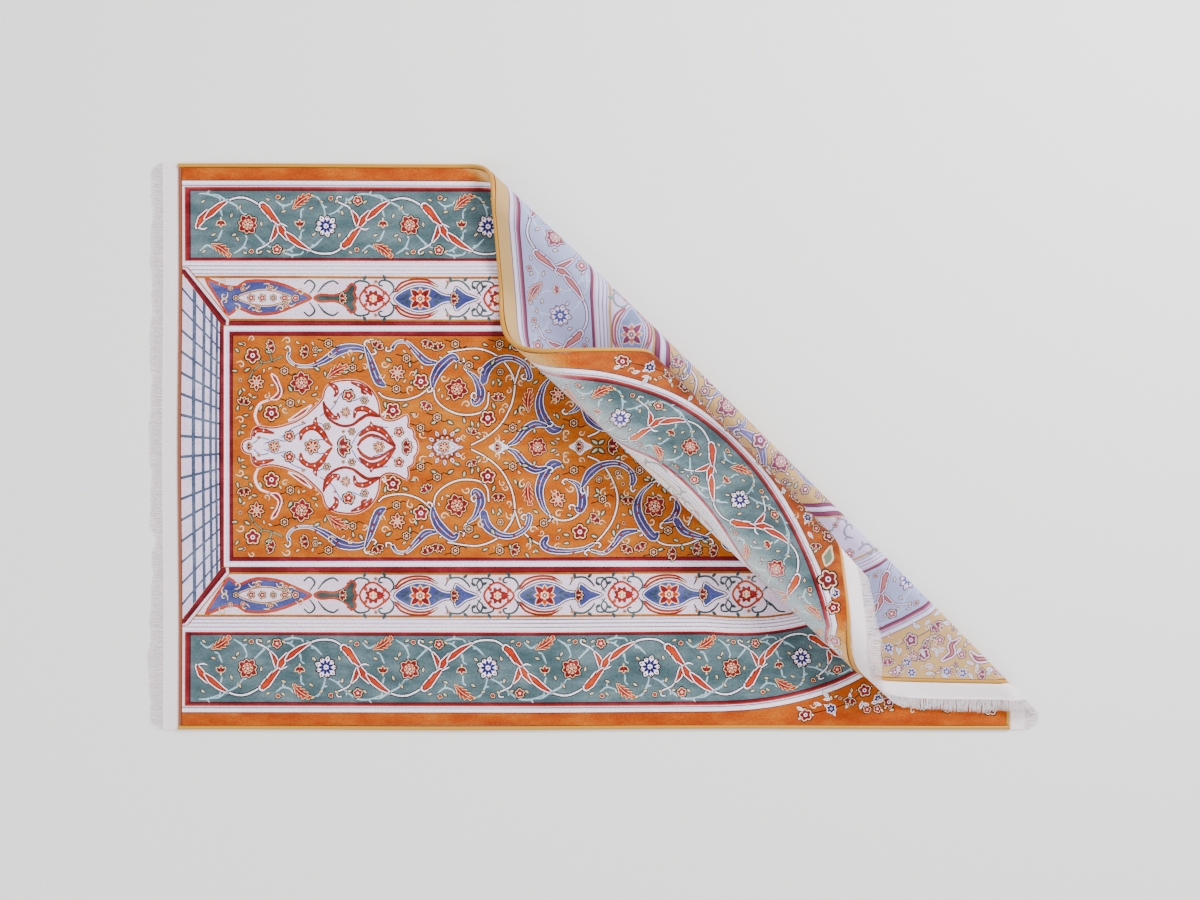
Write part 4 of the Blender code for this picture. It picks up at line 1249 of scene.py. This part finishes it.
# %% [markdown]
# ## Pile and back
# The sheet gets two faces. The pile face is split lengthwise into strips, only so that each can carry a
# sharper baked picture. The back is one sheet, and the pile strips go with it. Normals come from the fold
# itself, so long thin triangles don't show.

# %% Build the two faces of the carpet
def new_mesh(name, points, polygons, normals=None):
    mesh = bpy.data.meshes.new(name)
    mesh.from_pydata([tuple(p) for p in points], [], [tuple(int(i) for i in f) for f in polygons])
    mesh.validate()
    mesh.shade_smooth()
    if normals is not None and len(mesh.vertices) == len(points):
        mesh.normals_split_custom_set_from_vertices([tuple(n) for n in normals])
    made = bpy.data.objects.new(name, mesh)
    bpy.context.scene.collection.objects.link(made)
    return made


def colour_and_map(made, face_colours, vertex_uv):
    """A dye for each face, a map in metres for the textures, and one that fills the square for baking."""
    mesh = made.data
    corners = np.empty(len(mesh.loops), dtype=np.int64)
    mesh.loops.foreach_get("vertex_index", corners)
    totals = np.empty(len(mesh.polygons), dtype=np.int64)
    mesh.polygons.foreach_get("loop_total", totals)
    if face_colours is not None:
        dye = mesh.color_attributes.new("dye", "FLOAT_COLOR", "CORNER")
        per_corner = np.repeat(np.asarray(face_colours)[:len(totals)], totals, axis=0)
        dye.data.foreach_set("color", np.column_stack([per_corner, np.ones(len(per_corner))]).ravel())
    uv = np.asarray(vertex_uv, float)
    low_uv, high_uv = uv.min(0), uv.max(0)
    scaled = 0.01 + 0.98 * (uv - low_uv) / (high_uv - low_uv)
    for name, values in (("OFBake", scaled), ("cloth", uv)):
        layer = mesh.uv_layers.new(name=name)
        layer.data.foreach_set("uv", values[corners].ravel())


# Painted highlight and painted shade: on one side of a bend, where the pile stands open, its colours are
# painted paler, as the light would catch the pale sides of its fibres. On the slope that falls the other way
# they are painted darker.
FULL_LEAN, PAINTED_HIGHLIGHT_SHARE, PAINTED_SHADE_SHARE = 0.72, 0.70, 0.5


def sheet_face(name, cut, height, colours, rows=None, flip=False):
    """One face of the sheet, at a height from its middle, from the triangles between two rows."""
    flat, triangles, dyes = cut
    if rows:
        middle_v = flat[triangles][:, :, 1].mean(1)
        chosen = (middle_v >= rows[0]) & (middle_v < rows[1])
        triangles, dyes = triangles[chosen], dyes[chosen]
    used, index = np.unique(triangles, return_inverse=True)
    polygons = index.reshape(-1, 3)[:, ::-1 if flip else 1]
    points, up = place(np.column_stack([flat[used] * MM, np.full(len(used), height)]))
    made = new_mesh(name, points, polygons, -up if flip else up)
    shown = colours[dyes]
    # The pile face gets a painted highlight and painted shade from its tilt across the folds.
    if not flip:
        lean = (up[polygons].mean(1)[:, :2] @ ACROSS)[:, None] / FULL_LEAN
        shown = np.where(lean < 0, shown ** (1 - PAINTED_HIGHLIGHT_SHARE * np.clip(-lean, 0, 1)),
                         shown * (1 - PAINTED_SHADE_SHARE * np.clip(lean, 0, 1)))
    colour_and_map(made, shown, flat[used] * MM)
    print(name, len(made.data.polygons), "triangles")
    return made


pile_colours = np.array([linear(pile) for pile, back in DYES.values()])
back_colours = np.array([linear(back) for pile, back in DYES.values()])
STRIPS = {"pile_side_lower": (0, 140), "pile_border_lower": (140, 250), "pile_field_lower": (250, 409),
          "pile_field_upper": (409, 568), "pile_border_upper": (568, 678), "pile_side_upper": (678, 818)}
pile = [sheet_face(name, pile_cut, THICKNESS / 2, pile_colours, rows) for name, rows in STRIPS.items()]
back = sheet_face("woven_back", back_cut, -THICKNESS / 2, back_colours, flip=True)

# %% The cut edge that joins pile and back
EDGE_YARN = "#A9641C"
flat, triangles, _ = pile_cut
sides = set(map(tuple, sides_of(triangles).tolist()))
rim = [(a, b) for a, b in sides if (b, a) not in sides]
rim_points = sorted({i for pair in rim for i in pair})
number = {i: k for k, i in enumerate(rim_points)}
top, up = place([(*flat[i] * MM, THICKNESS / 2) for i in rim_points])
low_edge, _ = place([(*flat[i] * MM, -THICKNESS / 2) for i in rim_points])
count = len(rim_points)
walls = [(number[b], number[a], number[a] + count, number[b] + count) for a, b in rim]
side_wall = new_mesh("pile_edge", np.vstack([top, low_edge]), walls)
wall_uv = np.vstack([flat[rim_points] * MM, flat[rim_points] * MM + (0, THICKNESS)])
colour_and_map(side_wall, np.tile(linear(EDGE_YARN), (len(walls), 1)), wall_uv)
print(len(walls), "faces in the edge")

# %% [markdown]
# ## Wrapped side cords and end bands
# The long edges are overcast with yellow silk: a round cord under tight, slanting wraps. The wraps are
# shallow ridges in the mesh. Each end is closed by one narrow row: brown-orange pile at the left end, and
# the cord's yellow silk at the right.

# %% Cords and bands
WRAP_PITCH, WRAP_DEPTH, CORD_SIDES = 0.0030, 0.00022, 12
CORD_STATIONS, BAND_STATIONS = 1500, 420
BAND_HEIGHT, BAND_WRAP = 0.005, 0.00012


def bar_along(name, middle, across, height, along_u, stations, wraps):
    """A rounded bar along a side (along_u) or an end of the sheet, in flat metres."""
    bottom = -THICKNESS / 2
    angles = 2 * math.pi * (np.arange(CORD_SIDES) + 0.5) / CORD_SIDES
    start, end = (0.0, RUG_LENGTH) if along_u else (CORD_WIDTH + PIECE_GAP,
                                                    RUG_WIDTH - CORD_WIDTH - PIECE_GAP)
    run = np.linspace(start, end, stations)
    points = []
    for s in run:
        lift = wraps * np.abs(np.sin(math.pi * s / WRAP_PITCH + angles / 2))
        x = middle + np.cos(angles) * (across / 2 - wraps + lift)
        h = bottom + height / 2 + np.clip(np.sin(angles) * 1.12, -1, 1) * (height / 2 - wraps + lift)
        points += [(s, a, b) if along_u else (a, s, b) for a, b in zip(x, h)]
    placed, _ = place(points)
    ring_of = np.arange(CORD_SIDES)
    polygons = [(k * CORD_SIDES + i, k * CORD_SIDES + (i + 1) % CORD_SIDES,
                 (k + 1) * CORD_SIDES + (i + 1) % CORD_SIDES,
                 (k + 1) * CORD_SIDES + i) for k in range(stations - 1) for i in ring_of]
    polygons += [tuple(ring_of[::-1]), tuple(ring_of + (stations - 1) * CORD_SIDES)]
    made = new_mesh(name, placed, polygons)
    flat_uv = np.array([(s, np.cos(t) * across / 2) for s in run for t in angles])
    colour_and_map(made, None, flat_uv)
    return made


cords = [bar_along(name, middle, CORD_WIDTH, THICKNESS, True, CORD_STATIONS, WRAP_DEPTH) for name, middle in
         (("side_cord_lower", CORD_WIDTH / 2), ("side_cord_upper", RUG_WIDTH - CORD_WIDTH / 2))]
bands = [bar_along(name, middle, BAND_WIDTH, BAND_HEIGHT, False, BAND_STATIONS, BAND_WRAP) for name, middle in
         (("end_row_left", BAND_WIDTH / 2), ("end_row_right", RUG_LENGTH - BAND_WIDTH / 2))]
print("A cord has", len(cords[0].data.polygons), "faces")

# %% [markdown]
# ## Fringes
# The warps of the rug end in a white cotton fringe: a firm woven tape first, then loose fine threads. The
# tape is a thin slab with a slightly uneven rim. Every thread is a slim tapered tube of its own, close
# enough to its neighbours to read as cotton, and each differs a little in length and lean.

# %% Tapes and threads
TAPE_WIDTH, TAPE_HEIGHT = 0.0230, 0.0016
THREADS, THREAD_STEPS, THREAD_RADIUS = 1600, 5, 0.00033
HIDDEN_ROOT = TAPE_WIDTH * 0.55
TAPE_STEPS, FLOOR_GAP = (160, 6), 0.0001


def uneven(v, sign):
    """How much longer the fringe is at v: small waves, rounded corners, and at the left a lock and a gap."""
    grow = 0.0016 * math.sin(48 * v + 1 + sign) + 0.0010 * math.sin(133 * v)
    grow -= 0.012 * (math.exp(-(v / 0.007) ** 2) + math.exp(-((RUG_WIDTH - v) / 0.009) ** 2))
    if sign < 0:
        grow += 0.0070 * math.exp(-((v - 0.095) / 0.030) ** 2) - 0.0070 * math.exp(-((v
                                                                                      - 0.275) / 0.016) ** 2)
    return grow


def make_fringe(name, root, sign, seed):
    """A tape and its threads. It starts at root and grows towards sign."""
    chance = random.Random(seed)
    bottom = -THICKNESS / 2
    points, polygons = [], []
    across, out = TAPE_STEPS
    for k in range(across + 1):
        v = RUG_WIDTH * k / across
        for layer in (0, 1):
            for step in range(out + 1):
                share = step / out
                h = bottom + FLOOR_GAP + layer * TAPE_HEIGHT * (1 - 0.35 * share ** 3)
                points.append((root + sign * TAPE_WIDTH * share, v, h))
    row = 2 * (out + 1)
    for k in range(across):
        for step in range(out):
            for layer in (0, 1):
                a = k * row + layer * (out + 1) + step
                polygons.append((a, a + 1, a + row + 1, a + row) if layer == 0
                                else (a, a + row, a + row + 1, a + 1))
        for step in (0, out):
            a = k * row + step
            polygons.append((a, a + row, a + row + out + 1, a + out + 1))
    if sign > 0:
        polygons = [face[::-1] for face in polygons]
    for k in range(THREADS):
        v = RUG_WIDTH * (k + 0.5) / THREADS
        length = FRINGE_LENGTH - HIDDEN_ROOT + uneven(v, sign) - 0.0026 * chance.random()
        lean, curl = 0.0017 * chance.uniform(-1, 1), 0.0010 * chance.uniform(-1, 1)
        lift = 0.0010 * chance.random()
        base = len(points)
        for step in range(THREAD_STEPS + 1):
            share = step / THREAD_STEPS
            u = root + sign * (HIDDEN_ROOT + length * share)
            middle = v + lean * share ** 1.5 + curl * math.sin(3.1 * share + k)
            from_tape = (TAPE_HEIGHT * 0.9) * (1 - share) ** 2 * (0.4 + 0.6 * share)
            h = bottom + THREAD_RADIUS + FLOOR_GAP + from_tape + lift * share * (1 - share) * 2
            thick = THREAD_RADIUS * (1.25 - 0.6 * share)
            points += [(u, middle - thick, h - thick * 0.6), (u, middle + thick, h - thick * 0.6),
                       (u, middle, h + thick * 0.4)]
        for step in range(THREAD_STEPS):
            for i in range(3):
                a, b = base + 3 * step + i, base + 3 * step + (i + 1) % 3
                polygons.append((a, b, b + 3, a + 3)[::sign])
        polygons.append((base + 3 * THREAD_STEPS, base + 3 * THREAD_STEPS + 1, base + 3 * THREAD_STEPS + 2))
    points = np.array(points)
    points[:, 1] = np.clip(points[:, 1], 0, RUG_WIDTH)
    placed, _ = place(points)
    made = new_mesh(name, placed, polygons)
    colour_and_map(made, None, points[:, :2])
    return made


fringes = [make_fringe("cotton_fringe_left", -PIECE_GAP, -1, 11),
           make_fringe("cotton_fringe_right", RUG_LENGTH + PIECE_GAP, 1, 12)]
print("A fringe has", len(fringes[0].data.polygons), "faces")


# %% [markdown]
# ## Finishes
# The pile is cut silk: soft, with a strong sheen. Its colour is painted light and dark in random patches,
# partly uneven dye and partly painted sheen of a nap stroked as if by a hand. Its rows of knots are about a
# millimetre apart. The back is the same yarn tied flat, dull and ribbed by the warps. The cords are wrapped
# silk, smooth and bright, and the fringe is undyed cotton, matt and fibrous.

# %% One helper that adds a shader node
def add(tree, kind, settings=None, **links):
    """Adds a node. Settings are its own values. Links fill its inputs with a value or another output."""
    node = tree.nodes.new(kind)
    for key, value in (settings or {}).items():
        setattr(node, key, value)
    for key, value in links.items():
        numbered = key[0] == "i" and key[1:].isdigit()
        socket = node.inputs[int(key[1:]) if numbered else key.replace("_", " ")]
        if isinstance(value, bpy.types.NodeSocket):
            tree.links.new(value, socket)
        else:
            socket.default_value = value
    return node


def finish_of(name, **values):
    """A new finish. The values are its shader's own settings, such as Roughness=0.6."""
    material = bpy.data.materials.new(name)
    material.use_nodes = True
    tree = material.node_tree
    shader = tree.nodes["Principled BSDF"]
    for key, value in values.items():
        shader.inputs[key.replace("_", " ")].default_value = value
    return material, tree, shader


def cloth_map(tree, scale):
    """The cloth's own map in metres, scaled so that one texture unit is a real size."""
    uv = add(tree, "ShaderNodeUVMap", {"uv_map": "cloth"})
    return add(tree, "ShaderNodeMapping", Vector=uv.outputs["UV"], Scale=(*scale, 1.0)).outputs["Vector"]


def colour_and_bumps(tree, shader, colour, level, height, strength, depth):
    """Gives the shader a colour times a level, and bumps from a height."""
    shade = add(tree, "ShaderNodeVectorMath", {"operation": "SCALE"}, Vector=colour, Scale=level)
    bump = add(tree, "ShaderNodeBump", Strength=strength, Distance=depth, Height=height)
    tree.links.new(shade.outputs["Vector"], shader.inputs["Base Color"])
    tree.links.new(bump.outputs["Normal"], shader.inputs["Normal"])


# %% Cut silk pile
# Knots 1.1 mm apart are too fine to show from where the camera stands, so the tufts are drawn about twice
# as large.
KNOT_PITCH = 1.1 * MM
TUFT = (2.8 * KNOT_PITCH, 1.8 * KNOT_PITCH)
# Random patches of the pile, partly uneven dye and partly painted sheen: where the nap is stroked away, the
# pale sides of the fibres catch the light. A low power lightens deep dyes and spares whites.
DYE_AND_SHEEN_PATCH = (0.070, 0.032)
DYE_AND_SHEEN_DARK, DYE_AND_SHEEN_LIGHT = 1.24, 0.82


def silk_pile(name):
    material, tree, shader = finish_of(name, Roughness=0.62, Sheen_Weight=0.12, Sheen_Roughness=0.3,
                                       Specular_IOR_Level=0.12)
    dye = add(tree, "ShaderNodeAttribute", {"attribute_name": "dye"}).outputs["Color"]
    # Random patches of uneven dye and painted sheen: a noise raises the dye to a power.
    patches = add(tree, "ShaderNodeTexNoise", Vector=cloth_map(tree, (1 / DYE_AND_SHEEN_PATCH[0], 1 / DYE_AND_SHEEN_PATCH[1])),
                  Scale=1.0, Detail=6.0, Roughness=0.66)
    power = add(tree, "ShaderNodeMapRange", Value=patches.outputs["Fac"], From_Min=0.36, From_Max=0.64,
                To_Min=DYE_AND_SHEEN_DARK, To_Max=DYE_AND_SHEEN_LIGHT)
    patchy_dye_and_sheen = add(tree, "ShaderNodeGamma", Color=dye, Gamma=power.outputs["Result"])
    tufts = add(tree, "ShaderNodeTexNoise", Vector=cloth_map(tree, (1 / TUFT[0], 1 / TUFT[1])), Scale=1.0,
                Detail=2.0, Roughness=0.6)
    tuft_level = add(tree, "ShaderNodeMapRange", Value=tufts.outputs["Fac"], From_Min=0.3, From_Max=0.7,
                     To_Min=0.76, To_Max=1.22)
    colour_and_bumps(tree, shader, patchy_dye_and_sheen.outputs["Color"], tuft_level.outputs["Result"],
                     tufts.outputs["Fac"], 0.35, 0.5 * MM)
    return material


pile_finish = silk_pile("cut silk pile")


# %% Woven back, wrapped cord, end row and cotton
def woven(name, colour, pitch, roughness, sheen, depth, spread=(0.9, 1.08)):
    """A yarn finish with ribs along the warps and knots between them. Without a colour it shows the dyes."""
    material, tree, shader = finish_of(name, Roughness=roughness, Sheen_Weight=sheen)
    ribs = add(tree, "ShaderNodeTexWave", {"bands_direction": "Y"},
               Vector=cloth_map(tree, (1 / pitch, 1 / pitch)), Scale=0.5, Distortion=1.2, Detail=2.0)
    knots = add(tree, "ShaderNodeTexNoise", Vector=cloth_map(tree, (0.8 / pitch, 1.6 / pitch)), Scale=1.0,
                Detail=3.0)
    relief = add(tree, "ShaderNodeMath", {"operation": "MULTIPLY_ADD"}, i0=ribs.outputs["Fac"], i1=0.5,
                 i2=knots.outputs["Fac"])
    level = add(tree, "ShaderNodeMapRange", Value=relief.outputs["Value"], From_Min=0.3, From_Max=1.2,
                To_Min=spread[0], To_Max=spread[1])
    if colour:
        base = add(tree, "ShaderNodeRGB").outputs[0]
        base.default_value = (*linear(colour), 1.0)
    else:
        base = add(tree, "ShaderNodeAttribute", {"attribute_name": "dye"}).outputs["Color"]
    colour_and_bumps(tree, shader, base, level.outputs["Result"], relief.outputs["Value"], 0.5, depth)
    return material


back_finish = woven("knotted silk back", None, 1.1 * MM, 0.75, 0.15, 0.25 * MM)
cord_finish = woven("wrapped yellow silk", "#C08400", 0.8 * MM, 0.42, 0.1, 0.15 * MM, spread=(0.85, 1.15))
row_finish = woven("brown-orange end row", "#8E420E", 1.2 * MM, 0.6, 0.3, 0.3 * MM, spread=(0.8, 1.15))
cotton_finish = woven("undyed cotton fringe", "#FAECF1", 0.9 * MM, 0.85, 0.3, 0.2 * MM, spread=(0.94, 1.04))
wall_finish = woven("pile edge yarn", None, 1.1 * MM, 0.7, 0.2, 0.3 * MM)
for pieces, finish in ((pile, pile_finish), ([back], back_finish), ([side_wall], wall_finish),
                       (cords, cord_finish), (bands[:1], row_finish), (bands[1:], cord_finish),
                       (fringes, cotton_finish)):
    for made in pieces:
        made.data.materials.append(finish)

# %% Floor
FLOOR_SIZE, FLOOR_DROP = 14, 0.0004
bpy.ops.mesh.primitive_plane_add(size=FLOOR_SIZE, location=(0, 0, -FLOOR_DROP))
floor = bpy.context.object
floor.name = "floor"
floor_finish, _, _ = finish_of("matt white floor", Base_Color=(*linear("#F7F6F5"), 1.0), Roughness=0.9)
floor.data.materials.append(floor_finish)

# %% [markdown]
# ## Ride on the body and replace the CAD solids
# The rug has no joints, so every piece rides on its one body. Each piece stands for the CAD solid that it
# replaces, and that solid is hidden.

# %% Ride and replace
for made in [back, *pile, side_wall, *cords, *bands, *fringes]:
    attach(made, "root")
for made in [back, *pile, side_wall]:
    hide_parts("pile_carpet")
for made, node in zip([*cords, *bands, *fringes], ("edge_cord_lower", "edge_cord_upper", "end_band_left",
                                                   "end_band_right", "fringe_left", "fringe_right")):
    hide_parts(node)
